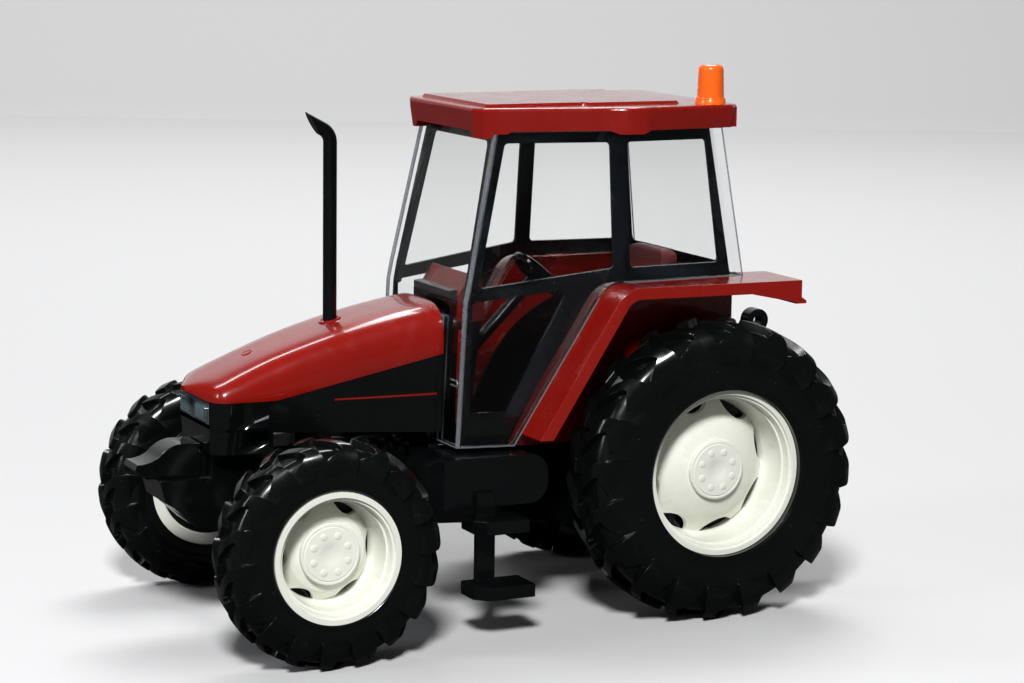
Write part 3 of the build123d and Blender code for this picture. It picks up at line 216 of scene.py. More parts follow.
def moulding_marks():
    """The marks of a moulded toy: slow colour drift, a faint ripple in the gloss, dust specks and smears.
    A scale is how many times a pattern repeats in a metre."""
    outputs = [(label, "Float") for label in ("Drift", "Ripple", "Dust", "Smear")]
    tree, inside, outside = new_group("moulding_marks", [("Place", "Vector")], outputs)
    place = inside.outputs["Place"]
    drift = add_node(tree, "ShaderNodeTexNoise", {"Scale": 55.0, "Detail": 2.0, "Roughness": 0.5})
    ripple = add_node(tree, "ShaderNodeTexNoise", {"Scale": 420.0, "Detail": 3.0, "Roughness": 0.55})
    dust = add_node(tree, "ShaderNodeTexVoronoi", {"Scale": 700.0, "Randomness": 1.0})
    smear = add_node(tree, "ShaderNodeTexNoise", {"Scale": 130.0, "Detail": 4.0, "Distortion": 1.2})
    for texture in (drift, ripple, dust, smear):
        tree.links.new(place, texture.inputs["Vector"])
    tree.links.new(drift.outputs["Fac"], outside.inputs["Drift"])
    tree.links.new(ripple.outputs["Fac"], outside.inputs["Ripple"])
    specks = add_node(tree, "ShaderNodeMath", operation="MULTIPLY")
    tree.links.new(ramp(tree, dust.outputs["Distance"], [(0.0, 1.0), (0.075, 0.0)]), specks.inputs[0])
    tree.links.new(ramp(tree, smear.outputs["Fac"], [(0.5, 0.0), (0.62, 1.0)]), specks.inputs[1])
    tree.links.new(specks.outputs[0], outside.inputs["Dust"])
    tree.links.new(ramp(tree, smear.outputs["Fac"], [(0.45, 0.0), (0.72, 1.0)]), outside.inputs["Smear"])
    return tree


marks = moulding_marks()
MIX_FACTOR, MIX_FIRST, MIX_SECOND, MIX_RESULT = 0, 6, 7, 2  # a Mix node's sockets for colours


def mixed(tree, factor, first, second):
    """A colour mix by the socket factor of two colours, the first of which may be a socket."""
    node = add_node(tree, "ShaderNodeMix", data_type="RGBA")
    tree.links.new(factor, node.inputs[MIX_FACTOR])
    for key, value in ((MIX_FIRST, first), (MIX_SECOND, second)):
        if isinstance(value, bpy.types.NodeSocket):
            tree.links.new(value, node.inputs[key])
        else:
            node.inputs[key].default_value = (*value, 1)
    return node.outputs[MIX_RESULT]


def spread(tree, source, low, high):
    """A number between low and high as source goes from 0 to 1."""
    node = add_node(tree, "ShaderNodeMapRange", {"To Min": low, "To Max": high})
    tree.links.new(source, node.inputs["Value"])
    return node.outputs["Result"]


def skin_of(material):
    """A material's Principled node."""
    return material.node_tree.nodes["Principled BSDF"]


def marked(name):
    """A new material, its skin, and the moulding's marks in its piece's own coordinates."""
    material = bpy.data.materials.new(name)
    material.use_nodes = True
    tree = material.node_tree
    place = add_node(tree, "ShaderNodeTexCoord")
    group = add_node(tree, "ShaderNodeGroup", node_tree=marks)
    tree.links.new(place.outputs["Object"], group.inputs["Place"])
    return material, skin_of(material), group.outputs


def plastic(
    name, dark, light, dust=(0.5, 0.48, 0.45), dusty=0.25, shine=(0.16, 0.3), ripple=0.02, coat=0.0
):
    """Moulded plastic: colour drift from dark to light, specks of dust, a roughness that varies between the
    two of shine, a ripple that many mm deep, and a clear coat."""
    material, skin, mark = marked(name)
    tree = material.node_tree
    drifted = mixed(tree, mark["Drift"], dark, light)
    weight = add_node(tree, "ShaderNodeMath", {1: dusty}, operation="MULTIPLY")
    tree.links.new(mark["Dust"], weight.inputs[0])
    tree.links.new(mixed(tree, weight.outputs[0], drifted, dust), skin.inputs["Base Color"])
    tree.links.new(spread(tree, mark["Smear"], *shine), skin.inputs["Roughness"])
    bump = add_node(tree, "ShaderNodeBump", {"Strength": 0.25, "Distance": ripple * MM})
    tree.links.new(mark["Ripple"], bump.inputs["Height"])
    tree.links.new(bump.outputs["Normal"], skin.inputs["Normal"])
    skin.inputs["Coat Weight"].default_value = coat
    skin.inputs["Coat Roughness"].default_value = 0.03
    return material


def clear_moulding():
    """The glazing: thin clear hard plastic, very slightly grey, under a faint gloss."""
    material, skin, mark = marked("glazing_clear")
    tree = material.node_tree
    tint = mixed(tree, mark["Drift"], (0.93, 0.94, 0.94), (0.98, 0.99, 0.98))
    tree.links.new(tint, skin.inputs["Base Color"])
    tree.links.new(spread(tree, mark["Smear"], 0.0, 0.008), skin.inputs["Roughness"])
    skin.inputs["Transmission Weight"].default_value = 1.0
    # Low, so that the shell's rear corner doesn't mirror the black frame inside it.
    skin.inputs["IOR"].default_value = 1.08
    skin.inputs["Coat Weight"].default_value = 0.3
    skin.inputs["Coat Roughness"].default_value = 0.0
    return material


def painted_glazing_highlight():
    """The rounded edges of the glazing, given a pale half-clear colour as a painted highlight of the light
    that the clear plastic gathers there.
    """
    # The pale greys are painted highlight, not a colour of the clear plastic.
    material = plastic("glazing_edge_highlight", (0.22, 0.25, 0.28), (0.52, 0.56, 0.60), dusty=0.0, shine=(0.06, 0.3))
    skin = skin_of(material)
    skin.inputs["Transmission Weight"].default_value = 0.72
    skin.inputs["IOR"].default_value = 1.45
    return material


materials = {
    "body_red": plastic(
        "red_gloss", (0.205, 0.0045, 0.0018), (0.265, 0.0065, 0.003), shine=(0.2, 0.34), ripple=0.006,
        coat=0.8,
    ),
    "body_black": plastic(
        "black_gloss", (0.0012, 0.0016, 0.0017), (0.0028, 0.0036, 0.0038), dusty=0.1, shine=(0.12, 0.24)
    ),
    "tyre_black": plastic(
        "tyre_gloss", (0.0010, 0.0014, 0.0014), (0.0028, 0.0036, 0.0035), dusty=0.18, shine=(0.18, 0.32),
        ripple=0.03,
    ),
    "rim_cream": plastic(
        "rim_moulding", (0.74, 0.75, 0.66), (0.84, 0.85, 0.78), dust=(0.3, 0.26, 0.2), dusty=0.3,
        shine=(0.3, 0.5), ripple=0.04,
    ),
    "clear_plastic": clear_moulding(),
    "glazing_edge_highlight": painted_glazing_highlight(),
    # The cab frame's real black, lifted to a bluish grey as painted sheen of the clear wall over it.
    "frame_black_with_sheen": plastic(
        "frame_satin_painted_sheen", (0.0065, 0.0088, 0.0112), (0.011, 0.0145, 0.0185), dusty=0.15, shine=(0.2, 0.34)
    ),
    "lamp_lens": plastic(
        "lamp_lens", (0.035, 0.055, 0.060), (0.11, 0.16, 0.17), dusty=0.05, shine=(0.08, 0.2), coat=0.3
    ),
    "seat_red": plastic("seat_moulding", (0.13, 0.022, 0.022), (0.20, 0.034, 0.032), shine=(0.4, 0.6)),
    "beacon_orange": plastic("beacon_lens", (0.90, 0.10, 0.006), (1.0, 0.16, 0.01), dusty=0.1, coat=0.6),
    "lamp_silver": plastic("lamp_panel", (0.10, 0.115, 0.12), (0.20, 0.225, 0.225), shine=(0.2, 0.4)),
    "pin_steel": plastic("pin_metal", (0.42, 0.42, 0.42), (0.6, 0.6, 0.6), shine=(0.25, 0.4)),
}
skin_of(materials["lamp_silver"]).inputs["Metallic"].default_value = 0.7
skin_of(materials["pin_steel"]).inputs["Metallic"].default_value = 1.0

# ---------------------------------------------------------------- pieces


def select_only(thing):
    """Selects one piece and makes it the active one."""
    bpy.ops.object.select_all(action="DESELECT")
    thing.select_set(True)
    bpy.context.view_layer.objects.active = thing


def rounded(piece, width, angle=None, harden=True):
    """Rounds a piece's edges by width mm. With an angle in degrees only sharper edges are rounded, and with
    harden the faces beside them keep their own shading."""
    rounding = piece.modifiers.new("rounding", "BEVEL")
    rounding.width = width * MM
    rounding.segments = 2
    if angle:
        rounding.limit_method = "ANGLE"
        rounding.angle_limit = radians(angle)
        rounding.harden_normals = harden
    bpy.ops.object.modifier_apply(modifier="rounding")


def cleaned(node, **choice):
    """A CAD node's mesh to work on, with its split corners merged and its flat faces whole."""
    bm = bmesh.new()
    bm.from_mesh(nodes[node].data)
    bmesh.ops.remove_doubles(bm, verts=bm.verts, dist=MERGE)
    bmesh.ops.dissolve_limit(bm, angle_limit=FLAT, verts=bm.verts, edges=bm.edges, **choice)
    return bm


def softened(node, width, corner=None):
    """A copy of a node with its edges rounded by width mm, standing for it. Edges that pass the test in
    corner = (test, width) are rounded more first."""
    mesh = nodes[node].data.copy()
    mesh.name = node + "_skin"
    bm = cleaned(node, use_dissolve_boundaries=False)
    if corner:
        test, corner_width = corner
        chosen = [e for e in bm.edges if len(e.link_faces) == 2 and test(*(v.co / MM for v in e.verts))]
        bmesh.ops.bevel(bm, geom=chosen, offset=corner_width * MM, segments=5, affect="EDGES", profile=0.5)
    bm.to_mesh(mesh)
    bm.free()
    piece = linked(node + "_skin", mesh)
    select_only(piece)
    bpy.ops.object.shade_smooth_by_angle(angle=radians(CREASE))
    rounded(piece, width, CREASE)
    mesh = piece.data
    mesh.materials.clear()
    mesh.materials.append(materials[slot_of_node[node]])
    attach(piece, body_of_node[node])
    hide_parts(node)
    return piece


for name, node in nodes.items():
    for held in node.material_slots:
        held.material = materials[slot_of_node[name]]

edge_widths = {  # in mm
    "bonnet_side_panels": 0.15, "roof": 0.15, "nose_block": 0.12, "fender_left": 0.12,
    "fender_right": 0.12, "exhaust": 0.08, "side_tank_left": 0.2, "side_tank_right": 0.2, "steps_left": 0.12,
    "steps_right": 0.12, "front_carrier": 0.12, "beacon": 0.1, "seat": 0.25, "dash": 0.15,
    "seat_pedestal": 0.12, "cab_tub": 0.12, "gearbox": 0.12, "engine": 0.08, "headlamps": 0.06,
    "cab_frame": 0.1, "cab_glass": 0.2,
    "rim_rear_left": 0.1, "rim_rear_right": 0.1, "rim_front_left": 0.1, "rim_front_right": 0.1,
    "front_axle_beam": 0.1, "knuckle_left": 0.08, "knuckle_right": 0.08, "tie_rod": 0.06, "lift_arms": 0.1,
    "top_link_bracket": 0.08, "tow_bar": 0.08, "steering_wheel": 0.04, "rear_axle_pin": 0.05,
}
nose_from = front_axle.x / MM + 8.9  # in mm, where the nose's front part begins


def nose_corner(a, b):
    """Whether an edge between two places in mm is an upright outer corner of the nose."""
    upright = abs(a.z - b.z) > 1.5 and abs(a.x - b.x) < 0.4
    return upright and abs(a.y) > 6 and min(a.x, b.x) > nose_from


for node, width in edge_widths.items():
    skin = softened(node, width, corner=(nose_corner, 1.1) if node == "bonnet_side_panels" else None)
    if node == "cab_frame":
        # Black frame with a painted bluish sheen.
        skin.data.materials[0] = materials["frame_black_with_sheen"]

# ---------------------------------------------------------------- tyres


def eased(rows, between):
    """The rows of numbers in a table with smooth steps put between them: a Catmull-Rom curve through each."""
    smooth = []
    for i in range(len(rows) - 1):
        before, here, there, after = (rows[max(0, min(len(rows) - 1, i + k))] for k in (-1, 0, 1, 2))
        for step in range(between):
            t = step / between
            smooth.append(tuple(
                0.5 * (
                    2 * b + (c - a) * t
                    + (2 * a - 5 * b + 4 * c - d) * t * t
                    + (3 * b - a - 3 * c + d) * t**3
                )
                for a, b, c, d in zip(before, here, there, after)
            ))
    return smooth + [rows[-1]]


# Rows across the tyre from its middle to the end of the fins. Places are in half widths of the tyre and drops
# in lug heights below its outer radius. A row has the casing's place and drop, the lug top's place and drop,
# the place that sets the row's turn along the swept bar, the least width of a lug in pitches, how much of a
# soft sail rather than a square bar the lug is there, and how much of its height it has.
TREAD_ROWS = [
    (0.075, 1.00, 0.075, 0.00, 0.075, 0.0, 0.0, 1.0),
    (0.20, 1.02, 0.20, 0.03, 0.20, 0.0, 0.0, 1.0),
    (0.35, 1.06, 0.36, 0.08, 0.36, 0.0, 0.0, 1.0),
    (0.50, 1.14, 0.52, 0.20, 0.52, 0.0, 0.0, 1.0),
    (0.59, 1.28, 0.64, 0.36, 0.64, 0.15, 0.1, 1.0),
    (0.67, 1.60, 0.76, 0.75, 0.76, 0.35, 0.3, 1.0),
    (0.73, 2.00, 0.86, 1.20, 0.86, 0.62, 0.6, 1.0),
    (0.775, 2.50, 0.93, 1.75, 0.93, 0.84, 0.9, 1.0),
    (0.81, 3.00, 0.975, 2.35, 1.0, 0.90, 1.0, 1.0),
    (0.84, 3.45, 0.995, 3.00, 1.1, 0.80, 1.0, 1.0),
    (0.868, 3.90, 0.990, 3.60, 1.1, 0.58, 1.0, 1.0),
    (0.892, 4.30, 0.972, 4.20, 1.1, 0.32, 1.0, 1.0),
    (0.908, 4.70, 0.940, 4.72, 1.1, 0.10, 1.0, 0.8),
]
TREAD_EDGE = [(0.04, 1.0, 0.04, 0.25, 0.06, 0.0, 0.0, 0.0), (0.055, 1.0, 0.055, 0.1, 0.06, 0.0, 0.0, 1.0)]
# Below the fins: the place in half widths and how far up the wall from the rim's lip.
SIDE_WALL = [
    (0.914, 0.95), (0.916, 0.80), (0.914, 0.62), (0.908, 0.45), (0.897, 0.30), (0.884, 0.20), (0.892, 0.17),
    (0.892, 0.11), (0.876, 0.07), (0.862, 0.03), (0.855, 0.0), (0.5, 0.0),
]
WALL_DROP = 4.9  # the top of the side wall, in lug heights below the tyre's outer radius
LUG_FOOT = 1.06  # where a lug's front edge meets the casing, in lug widths
# Across one lug: the place in lug widths up to its foot, then over the groove (to 2), with the height of a
# square bar and of a sail.
LUG_STEPS = [
    (0.0, 0.0, 0.0), (0.03, 1.0, 1.0), (0.22, 1.0, 0.80), (0.45, 1.0, 0.56), (0.70, 1.0, 0.30),
    (0.97, 1.0, 0.06), (LUG_FOOT, 0.0, 0.0), (1.25, 0.0, 0.0), (1.5, 0.0, 0.0), (1.75, 0.0, 0.0),
]


def bar_turn(place, half, radius, lug_wide):
    """The turn of a lug's rear edge ahead of straight up, at a place across the tread in half widths."""
    start, bend, bar, fin = 0.06, 0.72, 0.66, 0.30  # where the bar starts and bends, and both parts' lengths
    ahead = (0.28, -0.36, -0.52)  # how far the lug is ahead at its start, at its bend and at its fin's foot
    near, far, foot = (share * half - lug_wide / 2 for share in ahead)
    if place < bend:
        forward = near + (far - near) * (place - start) / bar
    else:
        forward = far + (foot - far) * min(1.0, (place - bend) / fin)
    return forward / radius


def tyre_half(bm, side, radius, half, seat, lugs, lug_high, lug_wide):
    """One half of the tyre's skin, from the middle ring to the bead. Returns its first and last rings."""
    crown = radius - lug_high
    pitch = 2 * pi / lugs
    count = len(LUG_STEPS)
    shift = 0.0 if side > 0 else pitch / 2
    wall = radius - WALL_DROP * lug_high - seat

    def even_ring(y, reach, turn):
        """One ring with the same place and radius all round, from its first point's turn."""
        return [(y, reach, turn + pitch * (lug + k / count)) for lug in range(lugs) for k in range(count)]

    def lug_ring(row):
        """One ring over lugs and grooves, from a row of the tread's table."""
        body_y, body_drop, top_y, top_drop, place, wide, sail, high = row
        turn = shift + bar_turn(place, half, radius, lug_wide)
        width = max(lug_wide / radius, wide * pitch)
        foot = LUG_FOOT * width
        ring = []
        for lug in range(lugs):
            for along, bar, cloth in LUG_STEPS:
                angle = along * width
                if along > LUG_FOOT:
                    angle = foot + (along - LUG_FOOT) / (2 - LUG_FOOT) * (pitch - foot)
                rise = high * (bar + (cloth - bar) * min(1.0, max(0.0, sail)))
                ring.append((
                    half * (body_y + (top_y - body_y) * rise),
                    radius - lug_high * (body_drop + (top_drop - body_drop) * rise),
                    turn + lug * pitch + angle,
                ))
        return ring

    rings = [even_ring(0.0, crown, shift)]
    rings += [lug_ring(row) for row in TREAD_EDGE + eased(TREAD_ROWS, 2)]
    last_turn = shift + bar_turn(TREAD_ROWS[-1][4], half, radius, lug_wide)
    rings += [even_ring(half * y, seat + up * wall, last_turn) for y, up in SIDE_WALL]
    made = []
    for ring in rings:
        made.append([
            bm.verts.new((reach * sin(turn) * MM, side * y * MM, reach * cos(turn) * MM))
            for y, reach, turn in ring
        ])
    for first, second in zip(made, made[1:]):
        for k in range(len(first)):
            following = (k + 1) % len(first)
            bm.faces.new((first[k], first[following], second[following], second[k]))
    return made[0], made[-1]


def from_bmesh(name, bm):
    """A new piece, selected, from a mesh under construction with its faces turned outward."""
    bmesh.ops.recalc_face_normals(bm, faces=bm.faces)
    mesh = bpy.data.meshes.new(name)
    bm.to_mesh(mesh)
    bm.free()
    piece = linked(name, mesh)
    select_only(piece)
    return piece


def moulded_tyre(node, lugs, lug_high, lug_wide, seat):
    """A lugged tyre over its CAD node, from the radius seat on its rim. Each lug has a square bar on the
    tread that turns into a sail-shaped fin with a straight rear edge on the side wall, which is why the skin
    is laid ring by ring."""
    crease = 34.0
    low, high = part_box(node)
    hub = middle(node)
    radius = (high.z - low.z) / 2 / MM
    half = (high.y - low.y) / 2 / MM
    bm = bmesh.new()
    outer = tyre_half(bm, 1, radius, half, seat, lugs, lug_high, lug_wide)
    inner = tyre_half(bm, -1, radius, half, seat, lugs, lug_high, lug_wide)
    for a, b in zip(outer, inner):
        across = len(a)
        # The two halves are half a lug apart, and their end rings are joined vertex to nearest vertex.
        nearest = min(range(across), key=lambda k: (a[0].co.xz - b[k].co.xz).length)
        for k in range(across):
            bm.faces.new((
                a[k], b[(k + nearest) % across], b[(k + 1 + nearest) % across], a[(k + 1) % across]
            ))
    bmesh.ops.remove_doubles(bm, verts=bm.verts, dist=MERGE / 4)
    if hub.y < 0:
        bmesh.ops.scale(bm, vec=(1, -1, 1), verts=bm.verts)
    bmesh.ops.translate(bm, vec=hub, verts=bm.verts)
    piece = from_bmesh(node + "_skin", bm)
    bpy.ops.object.shade_smooth_by_angle(angle=radians(crease))
    rounded(piece, 0.09, crease)
    piece.data.materials.append(materials["tyre_black"])
    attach(piece, body_of_node[node])
    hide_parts(node)


def seat_radius(node):
    """The radius in mm that a tyre has on a rim's lip, with a little room."""
    low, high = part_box(node)
    return (high.z - low.z) / 2 / MM + 0.05


for end in ("left", "right"):
    rear, front = "rear_" + end, "front_" + end
    moulded_tyre("tyre_" + rear, lugs=20, lug_high=1.35, lug_wide=2.5, seat=seat_radius("rim_" + rear))
    moulded_tyre("tyre_" + front, lugs=18, lug_high=1.05, lug_wide=2.1, seat=seat_radius("rim_" + front))

# ---------------------------------------------------------------- small turned and bent pieces


def turned(name, rings, sides=48):
    """A turned form along Z: a disc at the first (radius, height) of rings in mm, drawn out through them."""
    bpy.ops.object.select_all(action="DESELECT")
    radius, height = rings[0]
    bpy.ops.mesh.primitive_circle_add(vertices=sides, radius=radius * MM, fill_type="NGON")
    piece = bpy.context.object
    piece.name = piece.data.name = name
    bpy.ops.object.mode_set(mode="EDIT")
    bpy.ops.mesh.select_all(action="SELECT")
    bpy.ops.transform.translate(value=(0, 0, height * MM))
    for (near, low), (far, high) in zip(rings, rings[1:]):
        bpy.ops.mesh.extrude_region_move(TRANSFORM_OT_translate={"value": (0, 0, (high - low) * MM)})
        bpy.ops.transform.resize(value=(far / near, far / near, 1), center_override=(0, 0, 0))
    bpy.ops.mesh.select_all(action="SELECT")
    bpy.ops.mesh.normals_make_consistent(inside=False)
    bpy.ops.object.mode_set(mode="OBJECT")
    return piece


def set_at(piece, place, toward=(0, 0, 1)):
    """Puts a piece's own form at place, with its Z along toward."""
    turn = Vector(toward).to_track_quat("Z", "Y").to_matrix().to_4x4()
    piece.data.transform(Matrix.Translation(Vector(place)) @ turn)


def block(name, low, high, width):
    """A bar between two corners in mm with edges rounded by width mm."""
    low, high = Vector(low), Vector(high)
    bpy.ops.object.select_all(action="DESELECT")
    bpy.ops.mesh.primitive_cube_add(size=1)
    piece = bpy.context.object
    piece.name = piece.data.name = name
    size = Matrix.Diagonal((*((high - low) * MM), 1))
    piece.data.transform(Matrix.Translation((low + high) / 2 * MM) @ size)
    rounded(piece, width)
    return piece


def bent_rod(name, points, radius):
    """A round rod through points in mm."""
    curve = bpy.data.curves.new(name, "CURVE")
    curve.dimensions = "3D"
    curve.bevel_depth = radius * MM
    curve.bevel_resolution = 3
    line = curve.splines.new("POLY")
    line.points.add(len(points) - 1)
    for point, place in zip(line.points, points):
        point.co = (*(Vector(place) * MM), 1)
    select_only(linked(name, curve))
    bpy.ops.object.convert(target="MESH")
    return bpy.context.object


def joined(pieces):
    """The pieces as one, under the first one's name."""
    bpy.ops.object.select_all(action="DESELECT")
    for piece in pieces:
        piece.select_set(True)
    bpy.context.view_layer.objects.active = pieces[0]
    bpy.ops.object.join()
    return pieces[0]


def fitted(piece, body, slot, material=None, angle=35.0):
    """Gives a new piece its finish and the body that it rides on."""
    select_only(piece)
    bpy.ops.object.shade_smooth_by_angle(angle=radians(angle))
    piece.data.materials.clear()
    piece.data.materials.append(material or materials[slot])
    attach(piece, body)
    return piece


def hub_cap(rim, face, radius):
    """The low cap over a wheel's hub, with its face that many mm from the tractor's middle: a stepped edge,
    soft bosses in a ring and a shallow middle."""
    hub = middle(rim)
    side = 1 if hub.y > 0 else -1
    cap = turned(rim + "_cap", [
        (radius, -0.9), (radius, -0.1), (radius - 0.12, 0.06), (radius - 0.42, 0.10), (radius - 0.5, 0.02),
        (radius - 0.62, 0.02), (radius - 0.72, 0.16), (0.62 * radius, 0.20), (0.30 * radius, 0.20),
        (0.27 * radius, 0.13), (0.05, 0.13),
    ], 64)
    pieces = [cap]
    bosses, boss_radius, ring = 8, 0.12 * radius, 0.62 * radius
    for k in range(bosses):
        turn = (k + 0.5) * 2 * pi / bosses
        boss = turned(rim + "_boss", [
            (boss_radius, 0.1), (boss_radius, 0.22), (0.84 * boss_radius, 0.28), (0.5 * boss_radius, 0.32),
            (0.1 * boss_radius, 0.33),
        ], 20)
        set_at(boss, (ring * cos(turn) * MM, ring * sin(turn) * MM, 0))
        pieces.append(boss)
    cap = joined(pieces)
    set_at(cap, (hub.x, side * (face + 0.3) * MM, hub.z), (0, side, 0))
    fitted(cap, body_of_node[rim], "rim_cream")


def wheel_shade_ring(rim, place, radius, bore):
    """A dark ring put behind a wheel's disc as painted shade, for the shade seen through the windows of the
    disc: a ring from bore to radius in mm, at a place in mm from the tractor's middle."""
    hub = middle(rim)
    side = 1 if hub.y > 0 else -1
    # Painted shade: a black ring where the wheel would show only shade through its windows.
    wall = turned(rim + "_shade_ring", [
        (bore, 0.5), (bore, 0.0), (bore + 0.4, -0.12), (0.6 * radius, -0.2), (radius - 0.5, 0.0),
        (radius, 0.4), (radius, 0.9), (0.62 * radius, 0.62), (bore + 0.2, 0.6),
    ], 64)
    set_at(wall, (hub.x, side * place * MM, hub.z), (0, side, 0))
    fitted(wall, body_of_node[rim], "tyre_black")


for end in ("left", "right"):
    hub_cap("rim_rear_" + end, face=26.65, radius=5.05)
    hub_cap("rim_front_" + end, face=30.40, radius=5.0)
    wheel_shade_ring("rim_rear_" + end, place=19.75, radius=12.35, bore=3.2)
    wheel_shade_ring("rim_front_" + end, place=25.5, radius=8.85, bore=2.7)

# ---------------------------------------------------------------- bonnet, painted highlights on the glazing's edges and small parts


def side_name(side):
    """The word for a side, +1 or -1 along Y."""
    return "left" if side > 0 else "right"


def slab(name, corners, thick, width):
    """A flat piece: the corners of its face, drawn out by the vector thick, with edges rounded by width, all
    in mm."""
    bm = bmesh.new()
    face = bm.faces.new([bm.verts.new(Vector(corner) * MM) for corner in corners])
    drawn = bmesh.ops.extrude_face_region(bm, geom=[face])["geom"]
    ends = [v for v in drawn if isinstance(v, bmesh.types.BMVert)]
    bmesh.ops.translate(bm, vec=Vector(thick) * MM, verts=ends)
    piece = from_bmesh(name, bm)
    rounded(piece, width)
    return piece


def box_mm(node):
    """The low and high corner of a node's box in mm."""
    return [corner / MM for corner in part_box(node)]


axle = rear_axle.x / MM  # places along the tractor in mm are counted from here
bonnet_low, bonnet_high = box_mm("bonnet")
bonnet_rear, bonnet_tip = bonnet_low.x, bonnet_high.x
bonnet_long = bonnet_tip - bonnet_rear
# In mm: the height of the bonnet's lower edge at its rear, the length over which its section turns from
# square to an even arch, and the length at its tip over which the lower edge rises, with the rise.
FOOT_REAR, PROW, LIP, LIP_RISE = 45.4, 20.0, 2.4, 1.05
SQUARE, ARCH = 0.52, 0.36  # the section's power at the rear, and what the prow adds to it


def bonnet_top(x):
    """The height of the bonnet's ridge: an even curve from its rear through its middle to its tip."""
    t = (x - bonnet_rear) / bonnet_long
    rear, mid, tip, mid_at = bonnet_high.z, 47.8, 41.0, 0.593
    fall = ((rear - mid) / mid_at - (rear - tip)) / (mid_at - 1)
    return rear - (rear - tip - fall) * t - fall * t * t


def bonnet_foot(x):
    """The height of the line where the red bonnet meets the black side panels."""
    level_from = front_axle.x / MM + 1.0
    line = FOOT_REAR - (x - bonnet_rear) * (FOOT_REAR - bonnet_low.z) / (level_from - bonnet_rear)
    lip = max(0.0, min(1.0, (x - bonnet_tip + LIP) / LIP))
    return max(bonnet_low.z, line) + LIP_RISE * lip * lip * (3 - 2 * lip)


def bonnet_round(x):
    """The power that shapes the bonnet's section: square shoulders at the rear, an even arch at the prow."""
    near = max(0.0, min(1.0, (x - bonnet_tip + PROW) / PROW))
    return SQUARE + ARCH * near * near


def bonnet_half(x):
    """Half the bonnet's width: a slight taper, and then the rounded prow."""
    rear_half, drawn_in, tip_long, tip_half, spread_out, blend = 10.72, 1.6, 3.4, 0.9, 2.55, 9
    taper = rear_half - drawn_in * (x - bonnet_rear) / (bonnet_long - tip_long)
    prow = tip_half + (bonnet_tip - x) * spread_out
    return (taper**-blend + prow**-blend) ** (-1 / blend)


def moulded_bonnet():
    """The red bonnet: a grid bent over the ridge, with round shoulders and a prow."""
    crease, thick, edge, crowding = 50.0, 0.9, 0.12, 1.25
    bpy.ops.object.select_all(action="DESELECT")
    bpy.ops.mesh.primitive_grid_add(x_subdivisions=72, y_subdivisions=44, size=2)
    piece = bpy.context.object
    piece.name = piece.data.name = "bonnet_skin"
    for vertex in piece.data.vertices:
        along, around = (vertex.co.x + 1) / 2, vertex.co.y
        x = bonnet_rear + bonnet_long * (1 - (1 - along) ** crowding)
        turn, power = abs(around) * pi / 2, bonnet_round(x)
        foot, top = bonnet_foot(x), bonnet_top(x)
        side = 1 if around > 0 else -1
        vertex.co = (
            x * MM, side * bonnet_half(x) * sin(turn) ** power * MM,
            (foot + (top - foot) * max(0.0, cos(turn)) ** power) * MM,
        )
    bpy.ops.object.mode_set(mode="EDIT")
    bpy.ops.mesh.select_all(action="SELECT")
    bpy.ops.mesh.remove_doubles(threshold=2 * MERGE)
    bpy.ops.mesh.normals_make_consistent(inside=False)
    bpy.ops.object.mode_set(mode="OBJECT")
    wall = piece.modifiers.new("wall", "SOLIDIFY")
    wall.thickness = thick * MM
    wall.offset = -1
    bpy.ops.object.modifier_apply(modifier="wall")
    rounded(piece, edge, crease, harden=False)
    fitted(piece, body_of_node["bonnet"], "body_red", angle=crease)
    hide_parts("bonnet")


def on_bonnet(piece, x):
    """Stands a red piece on the bonnet's ridge, square to it."""
    slope = bonnet_top(x + 0.5) - bonnet_top(x - 0.5)
    set_at(piece, (x * MM, 0, bonnet_top(x) * MM), (-slope, 0, 1))
    fitted(piece, body_of_node["bonnet"], "body_red")


moulded_bonnet()
stack_x, plug_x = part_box("exhaust")[0].x / MM + 1.15, front_axle.x / MM + 2.5
on_bonnet(turned("exhaust_foot_ring", [
    (1.3, -0.9), (1.95, -0.9), (1.95, 0.12), (1.82, 0.26), (1.5, 0.26), (1.4, 0.05), (1.2, 0.0),
]), stack_x)
on_bonnet(turned("bonnet_plug", [
    (0.95, -0.5), (0.95, 0.05), (0.88, 0.14), (0.72, 0.14), (0.62, 0.02), (0.5, 0.02), (0.42, 0.10),
    (0.1, 0.12),
], 32), plug_x)


def glazing_highlight_beads():
    """Rounded beads along the glazing's outer edges, thicker up its two front corners, coloured as a pale
    painted highlight.
    """
    shortest, sharp, front, outer = 2.0, radians(60), axle + 36, 12.0
    bead, post_bead, inset = 0.14, 0.42, 0.3
    bm = cleaned("cab_glass")
    thin, thick = [], []
    for edge in bm.edges:
        if len(edge.link_faces) != 2 or edge.calc_length() < shortest * MM or not edge.is_convex:
            continue
        if edge.calc_face_angle() < sharp:
            continue
        ends = [vertex.co / MM for vertex in edge.verts]
        upright = abs(ends[0].z - ends[1].z) > shortest
        post = min(end.x for end in ends) > front and min(abs(end.y) for end in ends) > outer
        (thick if post and upright else thin).append(ends)
    bm.free()
    pieces = [bent_rod("glazing_highlight_bead", ends, bead) for ends in thin]
    for ends in thick:
        inward = [(end.x - inset, end.y - (inset if end.y > 0 else -inset), end.z) for end in ends]
        pieces.append(bent_rod("glazing_corner_highlight", inward, post_bead))
    # The beads take the pale edge material: painted highlight along the glass edges.
    fitted(joined(pieces), body_of_node["cab_glass"], "clear_plastic", materials["glazing_edge_highlight"])


glazing_highlight_beads()


def door_foot(side):
    """The black foot of a door behind the clear wall."""
    low, high = 30.7, 36.0
    corners = [(41.85, 15.0, low), (34.3, 16.35, low), (31.9, 16.7, high), (41.6, 15.0, high)]
    places = [(axle + x, side * y, z) for x, y, z in corners]
    foot = slab("door_foot_" + side_name(side), places, (0, -side * 0.5, 0), 0.1)
    fitted(foot, body_of_node["cab_frame"], "body_black")


